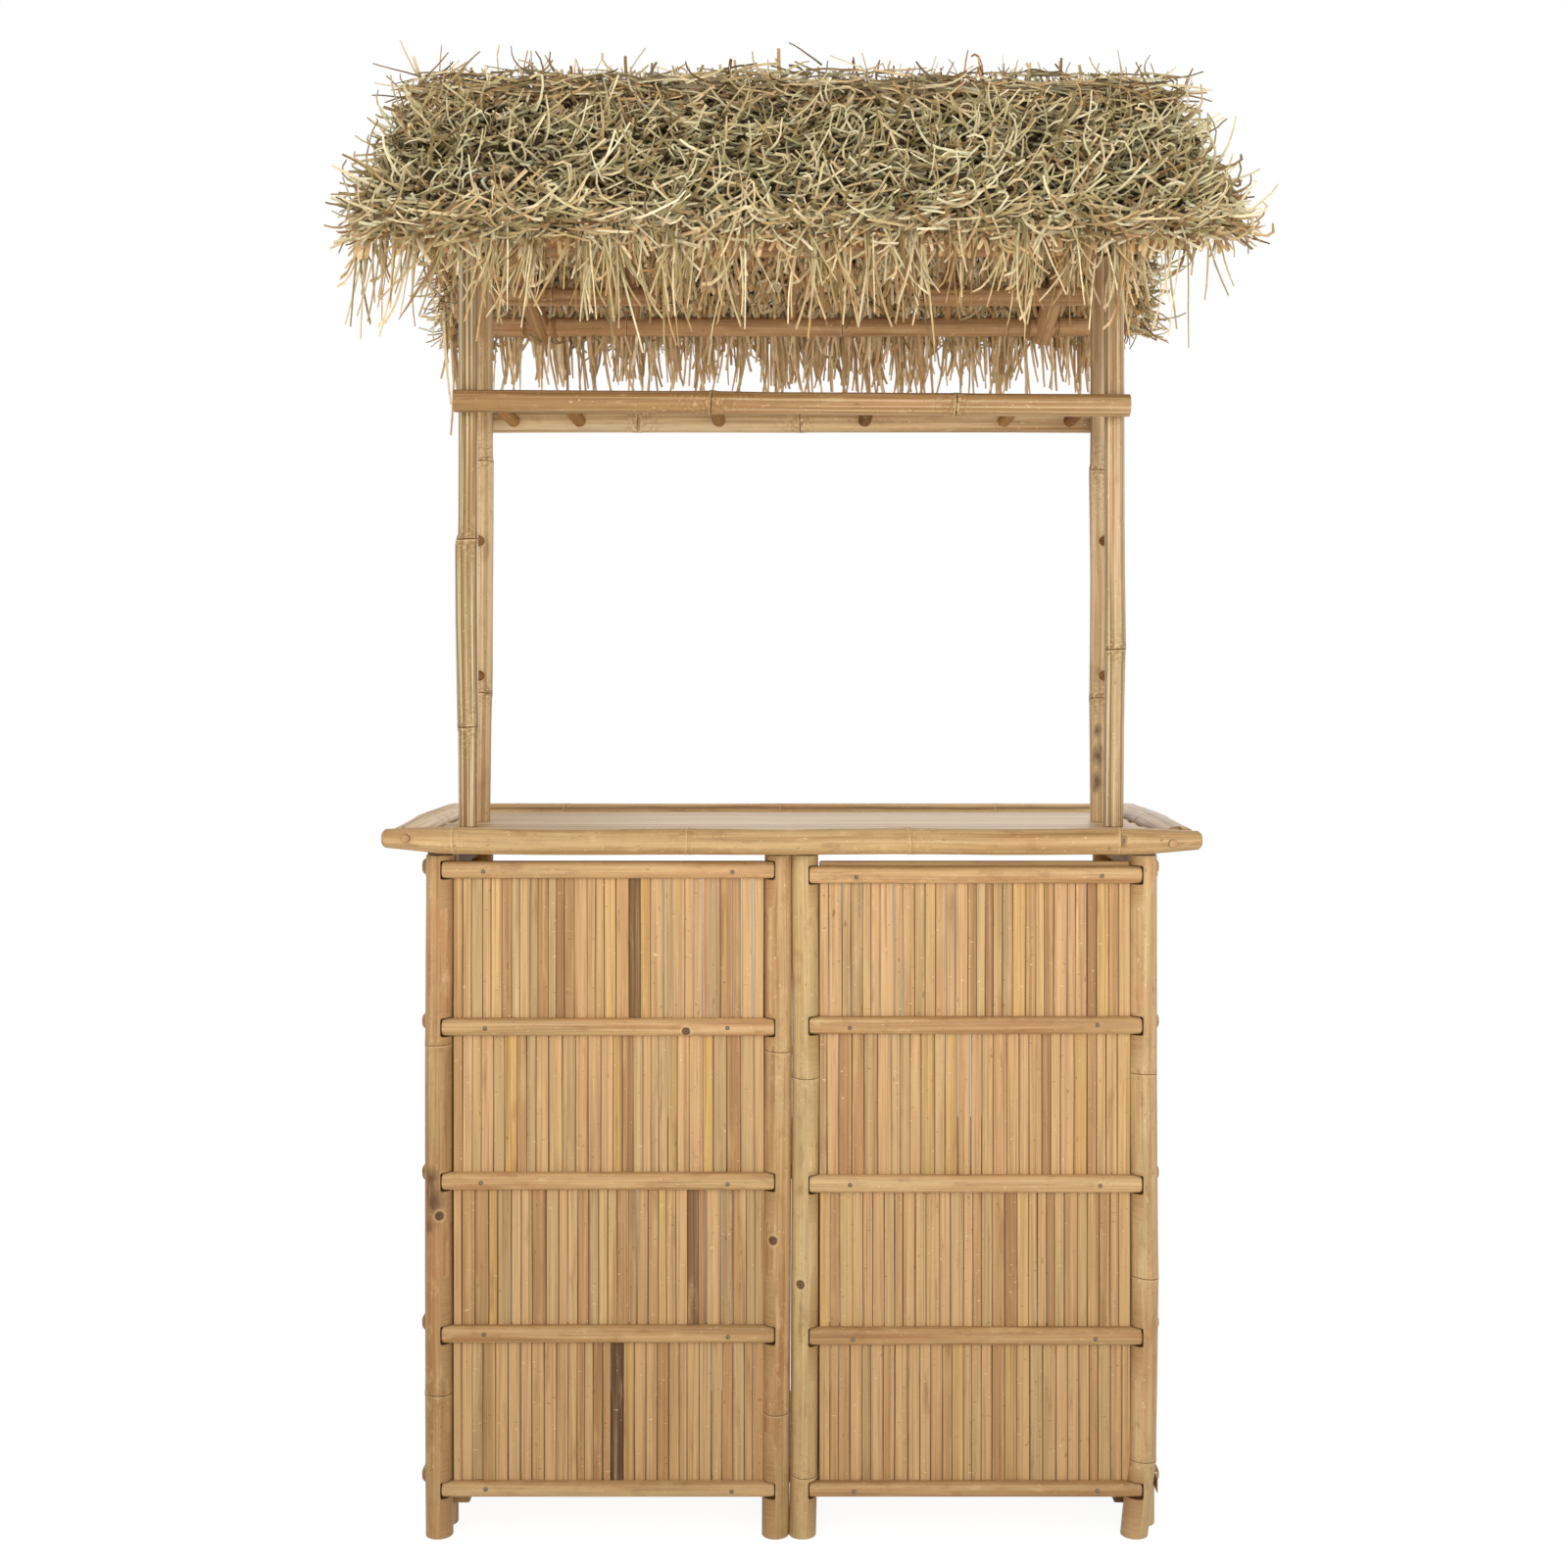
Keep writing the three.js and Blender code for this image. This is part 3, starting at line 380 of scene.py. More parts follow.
def pick_vertices(piece, test):
    """In edit mode, selects the vertices whose place passes the test."""
    mesh = bmesh.from_edit_mesh(piece.data)
    bpy.context.tool_settings.mesh_select_mode = (True, False, False)
    for vertex in mesh.verts:
        vertex.select = test(vertex.co)
    mesh.select_mode = {"VERT"}
    mesh.select_flush_mode()
    bmesh.update_edit_mesh(piece.data)


def pick_faces(piece, test):
    """In edit mode, selects the faces whose middle and normal pass the test."""
    mesh = bmesh.from_edit_mesh(piece.data)
    bpy.context.tool_settings.mesh_select_mode = (False, False, True)
    for face in mesh.faces:
        face.select = test(face.calc_center_median(), face.normal)
    mesh.select_mode = {"FACE"}
    mesh.select_flush_mode()
    bmesh.update_edit_mesh(piece.data)


def cut_rings(heights):
    for height in heights:
        bpy.ops.mesh.select_all(action="SELECT")
        bpy.ops.mesh.bisect(plane_co=(0, 0, height), plane_no=(0, 0, 1))


print("selecting by place and normal works in code")

# %% Reading and painting a mesh
def paint(piece, name, values, kind="FLOAT"):
    """Writes one value for each vertex, which the finishes read by this name."""
    layer = piece.data.attributes.get(name) or piece.data.attributes.new(name, kind, "POINT")
    flat = np.asarray(values, np.float32).ravel()
    layer.data.foreach_set("vector" if kind == "FLOAT_VECTOR" else "value", flat)


def paint_faces(piece, name, value):
    """Writes one value for all faces: a cut through the piece gives its own faces another one."""
    layer = piece.data.attributes.get(name) or piece.data.attributes.new(name, "FLOAT", "FACE")
    layer.data.foreach_set("value", np.full(len(piece.data.polygons), value, np.float32))


def places(piece):
    flat = np.zeros(len(piece.data.vertices) * 3, np.float32)
    piece.data.vertices.foreach_get("co", flat)
    return flat.reshape(-1, 3)


def put_places(piece, spots):
    piece.data.vertices.foreach_set("co", spots.astype(np.float32).ravel())
    piece.data.update()


def paint_grain(piece, draw, order, steps=(9, 3, 3)):
    """Paints a piece's own grain: its places in this axis order, moved by a random step."""
    shift = np.array([draw.uniform(-step, step) for step in steps])
    paint(piece, "grain", (places(piece) + shift)[:, order], "FLOAT_VECTOR")


def paint_tone(piece, value):
    paint(piece, "tone", np.full(len(piece.data.vertices), value))


print("attributes carry what the finishes need")

# %% [markdown]
# ## Making a culm
# One maker serves all poles of the bar. It cuts a ring for each step of the node's profile and a few
# between, resizes them, bends the line a little, ends it hollow or round, and paints what the finish
# needs. Kinks then shift and widen it at chosen heights. A curve could bend it as well, but that
# would need a second object for each pole.

# %% Profile of a node, and the two kinds of end
CULM_SIDES = 28
RING_SPACING = 75 * MM
RING_SPREAD = 0.008
NODE_REACH = 20 * MM
TIP_REACH = 12 * MM
COLLAR_REACH = 13 * MM
NODE_PROFILE = (
    (-9.0, 1.004, 0.0), (-3.2, 1.014, -0.3), (-1.4, 1.04, -1.0), (-0.3, 0.985, 1.0),
    (1.2, 1.028, -0.2), (4.0, 1.016, 0.0), (9.0, 1.004, 0.0),
)


def hollow_end(piece, height, way, radius, depth, wall=0.24):
    pick_faces(piece, lambda middle, normal: abs(middle.z - height) < 0.0005 and normal.z * way > 0.9)
    bpy.ops.mesh.inset(thickness=radius * wall, depth=0)
    bpy.ops.mesh.extrude_region_move(TRANSFORM_OT_translate={"value": (0, 0, -way * depth)})


def soften_ends(culm, length, radius, reach):
    """Rounds both ends: three insets, each pushed back less, leave a domed tip."""
    for height, way in ((0, -1), (length, 1)):
        for share in (0.45, 0.33, 0.16):
            pick_faces(culm, lambda middle, normal, way=way: normal.z * way > 0.98)
            bpy.ops.mesh.inset(thickness=radius * 0.13, depth=0)
            bpy.ops.transform.translate(value=(0, 0, way * reach * share))


print("node profile has", len(NODE_PROFILE), "rings")

# %% Rings of a culm
def ring_shapes(length, nodes, swell, draw):
    """Each ring's height, with its width factor and the mark that its groove or ridge gets."""
    shape = {}
    for node in nodes:
        for rise, grow, mark in NODE_PROFILE:
            shape[round(node + rise * MM, 6)] = (1 + (grow - 1) * swell, mark)
    steps = max(2, int(length / RING_SPACING))
    for step in range(1, steps):
        height = length * step / steps
        if all(abs(height - node) > NODE_REACH for node in nodes):
            shape[round(height, 6)] = (1.0 + draw.uniform(-RING_SPREAD, RING_SPREAD), 0.0)
    return {height: look for height, look in shape.items() if 2 * MM < height < length - 2 * MM}


def shape_rings(culm, length, shape, bow, taper, draw):
    """In edit mode, widens each ring as its shape says and shifts it along a soft bow."""
    phase = draw.uniform(0, 6.28)
    for height, (grow, mark) in shape.items():
        pick_vertices(culm, lambda place, at=height: abs(place.z - at) < 1e-5)
        size = grow * (1 - taper * (height / length - 0.5))
        bpy.ops.transform.resize(value=(size, size, 1), center_override=(0, 0, height))
        if bow:
            lean = bow * math.sin(math.pi * height / length)
            wave = 0.35 * bow * math.sin(3.1 * math.pi * height / length + phase)
            bpy.ops.transform.translate(value=(lean * math.cos(phase) + wave, lean * math.sin(phase), 0))


def mark_culm(culm, length, radius, shape, draw, cut_mark):
    """Paints the node rings, the cut ends, the grain and the tone."""
    spots = places(culm)
    heights = np.array(sorted(shape)) if shape else np.array([0.0])
    marks = np.array([shape[height][1] for height in heights]) if shape else np.array([0.0])
    nearest = np.abs(spots[:, 2:3] - heights[None, :]).argmin(1)
    on_ring = np.abs(spots[:, 2] - heights[nearest]) < 2e-5
    paint(culm, "ring", np.where(on_ring, marks[nearest], 0.0))
    across = np.hypot(spots[:, 0], spots[:, 1])
    at_end = (spots[:, 2] < 1e-4) | (spots[:, 2] > length - 1e-4)
    inside = (across < radius * 0.8) & ~at_end
    rim = at_end & (across < radius * 0.9)
    paint(culm, "cut", np.where(inside | rim, cut_mark, 0.0))
    paint_grain(culm, draw, [0, 1, 2], (3, 3, 9))
    paint_tone(culm, draw.random())


print("a ring every", RING_SPACING, "m between the nodes")

# %% The culm maker
def make_culm(length, radius, nodes=(), seed=0, bow=0.0, taper=0.0, ends=(0.012, 0.012),
              sides=CULM_SIDES, round_ends=0.0, swell=1.0, kinks=(), flutes=0.0):
    """A culm standing on the origin, with its nodes at these heights in metres."""
    draw = random.Random(SEED * 1000 + seed)
    let_go()
    bpy.ops.mesh.primitive_cylinder_add(vertices=sides, radius=radius, depth=length,
                                        location=(0, 0, length / 2))
    culm = bpy.context.object
    bpy.ops.object.transform_apply(location=True, rotation=False, scale=False)
    shape = ring_shapes(length, nodes, swell, draw)
    bpy.ops.object.mode_set(mode="EDIT")
    cut_rings(sorted(shape))
    shape_rings(culm, length, shape, bow, taper, draw)
    for height, way, depth in ((0, -1, ends[0]), (length, 1, ends[1])):
        if depth and not round_ends:
            hollow_end(culm, height, way, radius, depth)
    if round_ends:
        soften_ends(culm, length, radius, round_ends)
    bpy.ops.object.mode_set(mode="OBJECT")
    mark_culm(culm, length, radius, shape, draw, 0.0 if round_ends else 0.75)
    warp_culm(culm, nodes, kinks, flutes, draw)
    return culm


def warp_culm(culm, nodes, kinks, flutes, draw):
    """Grooves the sides lengthwise, tips each node's ring a little and bends the line at the kinks.

    A kink is a height, how far the middle moves across, and how wide the culm is there.
    """
    spots = places(culm).copy()
    if flutes:
        turns = np.arctan2(spots[:, 1], spots[:, 0])
        waves = np.cos(5 * turns + draw.uniform(0, 6)) + 0.6 * np.cos(9 * turns + draw.uniform(0, 6))
        spots[:, :2] *= 1 + flutes * waves[:, None]
    heights = spots[:, 2].copy()
    for node in nodes:
        close = np.clip(1.6 - np.abs(heights - node) / TIP_REACH, 0, 1)
        tips = draw.uniform(-0.09, 0.09), draw.uniform(-0.09, 0.09)
        spots[:, 2] += close * (tips[0] * spots[:, 0] + tips[1] * spots[:, 1])
    away = np.abs(heights[:, None] - np.array(nodes)[None, :]).min(1) if nodes else np.ones(len(heights))
    paint(culm, "collar", np.clip(1.25 - away / COLLAR_REACH, 0, 1))
    if kinks:
        at, across, wide = zip(*kinks)
        spots[:, :2] *= np.interp(heights, at, wide)[:, None]
        spots[:, 0] += np.interp(heights, at, across)
    put_places(culm, spots)


print("culms have", CULM_SIDES, "sides")

# %% [markdown]
# ## Putting a culm in its place
# A piece is made standing on the origin, where it is easy to shape. The frame's box gives its two ends
# and its radius. Its place is then applied to the mesh, and it is told which frame node it replaces
# and which body it moves with.

# %% Placing and fitting
def place_along(piece, start, end):
    """Turns a piece that stands on the origin so that it runs from start to end, and applies it."""
    way = (Vector(end) - Vector(start)).normalized()
    turn = Z_AXIS.rotation_difference(way).to_matrix().to_4x4()
    piece.matrix_world = Matrix.Translation(start) @ turn
    apply_place(piece)


def fit(piece, name, material, node):
    """Names a finished piece, gives it its finish and puts it in the place of its frame node."""
    piece.name = name
    piece.data.name = name
    piece.data.materials.clear()
    piece.data.materials.append(material)
    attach(piece, BODY_OF[node])
    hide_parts(node)
    return piece


def pole_line(node, ringed=True):
    """Start, end and radius of a frame pole that runs along one axis."""
    low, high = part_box(node)
    size = high - low
    axis = max(range(3), key=lambda index: size[index])
    start, end = (low + high) / 2, (low + high) / 2
    start[axis], end[axis] = low[axis], high[axis]
    across = max(size[index] for index in range(3) if index != axis)
    return start, end, across / 2 - (NODE_RISE if ringed else 0.0)


def culm_for(node, nodes_at, material, seed, ringed=True, grow=1.0, **look):
    """A culm in the place of one frame pole, its nodes at these shares of its length."""
    start, end, radius = pole_line(node, ringed)
    length = (end - start).length
    culm = make_culm(length, radius * grow, [share * length for share in nodes_at], seed, **look)
    place_along(culm, start, end)
    smooth(culm)
    return fit(culm, node + "_culm", material, node)


print("the frame has", len(frame["nodes"]), "places to fill")

# %% [markdown]
# ## Posts of the front screens
# All eight posts have half-round battens let into notches that are cut in the post and open in front.
# The notch could be modelled by pushing faces in, but its edge is a rounded slot that crosses the
# culm's own rings. A boolean with a slightly larger batten as the cutter, stretched forwards, leaves
# the narrow dark gap round each batten's end.

# %% Battens
BATTEN_CLEARANCE = 1.3 * MM
BATTEN_STEPS = 10
BATTEN_END_SHARE = 0.24
BATTEN_TIP_SHARE = 0.78
BATTEN_EDGE_POWER = 0.78
BATTEN_CROWN_POWER = 0.62
NOTCH_FRONT = 25 * MM
NOTCH_BACK = 0.3 * MM


def make_batten(length, height, depth, grow=0.0, seed=0):
    """A split batten along X: its flat back lies on y = 0 and it bulges towards -Y."""
    let_go()
    half = height / 2 + grow
    bpy.ops.mesh.primitive_cylinder_add(vertices=4 * BATTEN_STEPS, radius=1, depth=length + 2 * grow,
                                        rotation=(0, math.pi / 2, 0))
    batten = bpy.context.object
    batten.scale = (half, depth + grow, 1)
    bpy.ops.object.transform_apply(location=False, rotation=True, scale=True)
    bpy.ops.object.mode_set(mode="EDIT")
    bpy.ops.mesh.select_all(action="SELECT")
    bpy.ops.mesh.bisect(plane_co=(0, grow, 0), plane_no=(0, 1, 0), clear_outer=True, use_fill=True)
    return round_batten(batten, length + 2 * grow, half, depth + grow, seed)


def round_batten(batten, length, half, depth, seed):
    """Cuts rings near the ends, flattens the crown and rounds the corners of the ends."""
    draw = random.Random(SEED * 77 + seed)
    reach = half * BATTEN_END_SHARE
    straight = length / 2 - reach
    for side in (-1, 1):
        for turn in (0, 25, 48, 66, 80):
            at = side * (straight + reach * math.sin(math.radians(turn)))
            bpy.ops.mesh.select_all(action="SELECT")
            bpy.ops.mesh.bisect(plane_co=(at, 0, 0), plane_no=(1, 0, 0))
    bpy.ops.object.mode_set(mode="OBJECT")
    spots = places(batten).copy()
    high = np.abs(spots[:, 2]) / half
    fore = np.clip(-spots[:, 1] / depth, 0, 1)
    spots[:, 2] = np.sign(spots[:, 2]) * half * high ** BATTEN_EDGE_POWER
    spots[:, 1] = np.where(spots[:, 1] < 0, -depth * fore ** BATTEN_CROWN_POWER, spots[:, 1])
    over = np.clip((np.abs(spots[:, 0]) - straight) / reach, 0, 1)
    narrow = BATTEN_TIP_SHARE + (1 - BATTEN_TIP_SHARE) * np.sqrt(1 - over ** 2)
    spots[:, 2] *= narrow
    spots[:, 1] = np.where(spots[:, 1] < 0, spots[:, 1] * (0.55 + 0.45 * narrow), spots[:, 1])
    put_places(batten, spots)
    paint_grain(batten, draw, [1, 2, 0])
    paint(batten, "cut", np.where(narrow < 0.82, 0.45, 0.0))
    paint_tone(batten, draw.random())
    return batten


def open_front(cutter):
    """Stretches a cutter of a batten's shape forwards, so that the notch it leaves is open in front."""
    spots = places(cutter).copy()
    spots[:, 1] = np.where(spots[:, 1] < -NOTCH_BACK, -NOTCH_FRONT, spots[:, 1])
    put_places(cutter, spots)
    paint_faces(cutter, "notch", 1.0)


print("a batten is a cylinder cut in half, with its ends drawn in")

# %% [markdown]
# ## Each post's own nodes and bends
# No two culms have their nodes at the same heights, and none is quite straight: the right corner post,
# for one, has a foot that bends inwards. So each post gets its node heights in metres and its kinks.
# Stains and bud scars belong to places on the finished posts, so they are given with the finish.

# %% Nodes, bends and finishes of the front posts
POST_NODE_HEIGHTS = {
    "front_left_corner_post": (0.2116, 0.7357), "front_left_middle_post": (0.1854, 0.7251),
    "front_right_middle_post": (0.0915, 0.6868), "front_right_corner_post": (0.1130, 0.3867, 0.6914),
}
POST_KINKS = {
    "front_left_corner_post": ((0.0, -0.0005, 1.0), (0.21, -0.001, 1.0),
                               (0.5, -0.0015, 1.0), (1.0, 0.0, 1.0)),
    "front_left_middle_post": ((0.0, -0.0045, 1.0), (0.19, -0.0025, 1.0),
                               (0.72, 0.0005, 1.0), (1.0, 0.0, 1.0)),
    "front_right_middle_post": ((0.0, -0.0045, 1.0), (0.09, -0.003, 1.0),
                                (0.69, 0.0, 1.0), (1.0, -0.001, 1.0)),
    "front_right_corner_post": ((0.0, -0.0145, 1.0), (0.055, -0.0095, 1.0), (0.113, -0.0025, 1.0),
                                (0.39, 0.001, 1.0), (0.69, -0.0015, 1.0), (1.0, -0.001, 1.0)),
}
post_finish = bamboo_material(
    "bamboo_post", srgb(214, 180, 130), srgb(198, 157, 106), srgb(166, 121, 73),
    stains=[((-0.540, -0.137, 0.538), 0.020), ((-0.534, -0.137, 0.500), 0.026),
            ((-0.542, -0.135, 0.466), 0.014)],
    scars=[((-0.5250, -0.137, 0.482), 0.0072), ((-0.0285, -0.137, 0.445), 0.0075)])
knotted_green_finish = bamboo_material(
    "bamboo_green_knotted", srgb(214, 184, 132), srgb(198, 163, 109), srgb(166, 128, 76), green=0.55,
    scars=[((0.0124, -0.137, 0.3795), 0.0075)])
POST_FINISHES = {
    "front_left_corner_post": post_finish, "front_left_middle_post": post_finish,
    "front_right_middle_post": knotted_green_finish, "front_right_corner_post": culm_finish,
}
print("posts:", sorted(POST_FINISHES))

# %% [markdown]
# ## Battens let into the posts
# Each screen has five battens. A batten is made twice: once in its own size, and once a little larger
# as the cutter for both posts of its screen. The cutters are removed once the posts are cut.

# %% Front battens and posts
POST_RADIUS_MARGIN = 0.15 * MM
POST_HOLLOW = 14 * MM
PAIR_LEAN = 0.3 * MM
BOTTOM_BATTEN_SHARE = 0.87
BATTEN_SHIFTS = {
    ("right", 1): -7.5 * MM, ("right", 2): 2.5 * MM, ("right", 3): -4 * MM, ("right", 4): -3 * MM,
}


def carve(piece, cutter):
    """Takes the cutter's shape out of a piece with a boolean."""
    pick_only(piece)
    modifier = piece.modifiers.new("carve", "BOOLEAN")
    modifier.operation = "DIFFERENCE"
    modifier.object = cutter
    modifier.solver = "EXACT"
    bpy.ops.object.modifier_apply(modifier=modifier.name)


def move_and_apply(piece, place, turn=0.0):
    piece.matrix_world = Matrix.Translation(place) @ Matrix.Rotation(turn, 4, "Z")
    apply_place(piece)


def batten_measures(node):
    low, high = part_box(node)
    middle = Vector(((low.x + high.x) / 2, high.y, (low.z + high.z) / 2))
    return high.x - low.x, high.z - low.z, high.y - low.y, middle


def notched_post(node, cutters, seed):
    low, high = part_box(node)
    radius = (high.x - low.x) / 2 - POST_RADIUS_MARGIN
    middle = (low.x + high.x) / 2
    if "middle" in node:
        middle -= math.copysign(PAIR_LEAN, middle)
    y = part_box("front_left_corner_post")[1].y - radius - POST_RADIUS_MARGIN
    post = make_culm(high.z, radius, POST_NODE_HEIGHTS[node], seed, bow=0.8 * MM,
                     ends=(POST_HOLLOW, POST_HOLLOW), kinks=POST_KINKS[node])
    paint_faces(post, "notch", 0.0)
    move_and_apply(post, (middle, y, 0))
    for cutter in cutters:
        carve(post, cutter)
    smooth(post)
    return fit(post, node + "_culm", POST_FINISHES[node], node)


seed = 0
for side in ("left", "right"):
    cutters = []
    for level in range(1, 6):
        seed += 1
        node = f"front_{side}_batten_{level}"
        length, height, depth, middle = batten_measures(node)
        height *= BOTTOM_BATTEN_SHARE if level == 5 else 1
        middle.z += BATTEN_SHIFTS.get((side, level), 0)
        cutter = make_batten(length, height, depth, BATTEN_CLEARANCE, seed)
        open_front(cutter)
        move_and_apply(cutter, middle)
        cutters.append(cutter)
        batten = make_batten(length, height, depth, 0, seed)
        move_and_apply(batten, middle)
        smooth(batten)
        fit(batten, node + "_strip", batten_finish, node)
    for place in ("corner", "middle"):
        seed += 1
        notched_post(f"front_{side}_{place}_post", cutters, seed)
    for cutter in cutters:
        bpy.data.objects.remove(cutter)
print("front battens and posts:", seed, "pieces")

# %% [markdown]
# ## Scattering copies
# Slats, nails and straws are the same small shape hundreds of times over. Copying objects one by one
# would fill the scene, so one shape is modelled, and its vertices are written once for each place into
# one mesh. Each copy carries its own random tone, so no two look alike.

# %% Scattering copies
def copy_places(base, turns):
    """Where the vertices of a template come to lie in each of its copies."""
    return np.einsum("nij,vj->nvi", turns[:, :3, :3], base) + turns[:, None, :3, 3]


def scatter(template, name, turns, marks, extra_marks=()):
    """One mesh with a copy of the template for each 4 by 4 place; marks are one value for each copy."""
    base = places(template)
    count, size = len(turns), len(base)
    spots = copy_places(base, np.asarray(turns, np.float64))
    mesh = bpy.data.meshes.new(name)
    faces = np.array([v for face in template.data.polygons for v in face.vertices])
    sizes = np.array([len(face.vertices) for face in template.data.polygons])
    corners = (faces[None, :] + size * np.arange(count)[:, None]).ravel()
    totals = np.tile(sizes, count)
    starts = np.concatenate([[0], np.cumsum(totals)[:-1]])
    mesh.vertices.add(count * size)
    mesh.vertices.foreach_set("co", spots.astype(np.float32).ravel())
    mesh.loops.add(len(corners))
    mesh.loops.foreach_set("vertex_index", corners.astype(np.int32))
    mesh.polygons.add(len(totals))
    mesh.polygons.foreach_set("loop_start", starts.astype(np.int32))
    mesh.update(calc_edges=True)
    mesh.validate()
    piece = bpy.data.objects.new(name, mesh)
    bpy.context.scene.collection.objects.link(piece)
    for mark, values in marks.items():
        paint(piece, mark, np.repeat(np.asarray(values, float), size))
    for mark in extra_marks:
        source = np.zeros(size, np.float32)
        template.data.attributes[mark].data.foreach_get("value", source)
        paint(piece, mark, np.tile(source, count))
    return piece


print("scatter writes copies straight into one mesh")

# %% [markdown]
# ## Slat finish
# The screens are filled with flat strips split from many culms, so neighbours differ: tan, pinkish,
# golden, olive-grey and brown. One colour ramp read by each strip's own random tone picks its ground
# colour, and stretched noise adds fibres, darker streaks and faint scars along it.

# %% Slat finish
def slat_material(name, stops):
    material, tree, shader = new_material(name)
    grain = attribute(tree, "grain", "Vector")
    tone = attribute(tree, "tone")
    ground = ramp(tree, tone, stops)
    streaks = stretched_noise(tree, grain, (330, 330, 3.5), 5, 0.62)
    bands = stretched_noise(tree, grain, (150, 150, 1.6), 3, 0.55)
    clouds = stretched_noise(tree, grain, (60, 60, 8), 4, 0.6)
    fibres = stretched_noise(tree, grain, (900, 900, 9), 3)
    colour = shade_by(tree, 1.0, ground, streaks, [(0.3, 0.66), (0.5, 1.0), (0.7, 1.14)])
    colour = tint(tree, colour, bands, [(0.3, 0.6), (0.44, 0.0)], srgb(158, 114, 68))
    colour = tint(tree, colour, bands, [(0.56, 0.0), (0.7, 0.5)], srgb(222, 184, 130))
    colour = tint(tree, colour, clouds, [(0.56, 0.0), (0.74, 0.45)], srgb(224, 186, 130))
    colour = tint(tree, colour, clouds, [(0.26, 0.6), (0.4, 0.0)], srgb(146, 104, 60))
    colour = shade_by(tree, 0.5, colour, fibres, [(0.3, 0.72), (0.7, 1.12)])
    ticks = stretched_noise(tree, grain, (125, 125, 330), 2, 0.4)
    colour = tint(tree, colour, ticks, [(0.72, 0.0), (0.76, 0.7)], srgb(234, 206, 156))
    colour = tint(tree, colour, ticks, [(0.24, 0.7), (0.28, 0.0)], srgb(118, 80, 44))
    stains = stretched_noise(tree, grain, (150, 150, 45), 2)
    colour = tint(tree, colour, stains, [(0.22, 0.65), (0.29, 0.0)], srgb(112, 76, 42))
    # Painted shade in the seams: each strip's long edges are darkened, more in some places than in others.
    strength = ramp(tree, stretched_noise(tree, grain, (20, 20, 2.5), 2), [(0.36, 0.25), (0.62, 1.0)])
    seam_shade = times(tree, ramp(tree, attribute(tree, "edge"), [(0.4, 0.0), (0.9, 0.85)]), strength)
    colour = blend_colours(tree, seam_shade, colour, srgb(92, 60, 32))
    shader.inputs["Specular IOR Level"].default_value = 0.3
    rough = ramp(tree, streaks, [(0.3, 0.72), (0.7, 0.56)])
    # Painted shade and dust, darker towards the floor.
    plug_in(tree, shader, darker_below(tree, colour), rough, streaks, 0.25, 0.6 * MM)
    return material


# The first stop is the painted shade of the thin strips behind each field's edges, beside the posts.
SLAT_TONES = [
    (0.0, srgb(70, 46, 26)), (0.01, srgb(162, 120, 76)), (0.06, srgb(178, 135, 87)),
    (0.16, srgb(191, 148, 98)), (0.32, srgb(202, 159, 108)), (0.48, srgb(210, 167, 117)),
    (0.62, srgb(206, 166, 112)), (0.76, srgb(200, 163, 113)), (0.88, srgb(184, 150, 103)),
    (0.95, srgb(208, 164, 98)), (1.0, srgb(216, 178, 124)),
]
slat_finish = slat_material("bamboo_slat", SLAT_TONES)
print("slat tones:", len(SLAT_TONES))

# %% [markdown]
# ## Slats and rails of the front screens
# Each front screen has four fields of about twenty-seven upright strips between its battens, each
# field with strips of its own. The strips are flat with a slightly crowned, round-edged face. They
# could be cut into one board with grooves, but real strips vary in width and leave thin slits of
# light, so each is a body of its own. Behind them run the rails that the battens are nailed to.

# %% One strip and one nail
def make_strip():
    """A strip one metre long, wide and thick, crowned towards -Y, so that scaling gives its size."""
    let_go()
    bpy.ops.mesh.primitive_cube_add(size=1)
    strip = bpy.context.object
    bpy.ops.object.mode_set(mode="EDIT")
    for x in (-0.46, -0.41, -0.24, 0.24, 0.41, 0.46):
        bpy.ops.mesh.select_all(action="SELECT")
        bpy.ops.mesh.bisect(plane_co=(x, 0, 0), plane_no=(1, 0, 0))
    for reach, drop in ((0.499, 0.24), (0.455, 0.07), (0.405, 0.03), (0.235, 0.01)):
        for side in (-1, 1):
            pick_vertices(strip, lambda place, low=reach, side=side:
                          place.y < 0 and low < place.x * side < low + 0.02)
            bpy.ops.transform.translate(value=(0, drop, 0))
    bpy.ops.object.mode_set(mode="OBJECT")
    # The long edges carry the painted shade of the seams between strips.
    paint(strip, "edge", np.where(np.abs(places(strip)[:, 0]) > 0.45, 1.0, 0.0))
    return strip


def make_nail():
    """A nail head one metre across, domed towards -Y and standing on y = 0."""
    let_go()
    bpy.ops.mesh.primitive_cylinder_add(vertices=10, radius=0.5, depth=0.2, location=(0, 0, 0.1))
    nail = bpy.context.object
    bpy.ops.object.transform_apply(location=True)
    bpy.ops.object.mode_set(mode="EDIT")
    pick_faces(nail, lambda middle, normal: normal.z > 0.9)
    bpy.ops.mesh.inset(thickness=0.14)
    bpy.ops.transform.translate(value=(0, 0, 0.1))
    bpy.ops.mesh.select_all(action="SELECT")
    bpy.ops.transform.rotate(value=-math.pi / 2, orient_axis="X", center_override=(0, 0, 0))
    bpy.ops.object.mode_set(mode="OBJECT")
    top = places(nail)[:, 1].min()
    if top > -0.2:
        nail.data.transform(Matrix.Rotation(math.pi, 4, "X"))
    return nail


strip_template = make_strip()
nail_template = make_nail()
print("strip faces", len(strip_template.data.polygons), "nail faces", len(nail_template.data.polygons))

# %% [markdown]
# ## Filling a field with strips
# A field lies between two battens and two posts. Strips of random widths are laid from one side to the
# other and scaled to fit exactly. Each one leans and stands forward a little differently, and one in
# nine leaves a wider slit of light. A thin strip behind each edge, painted dark as shade, closes the
# gap beside the post.

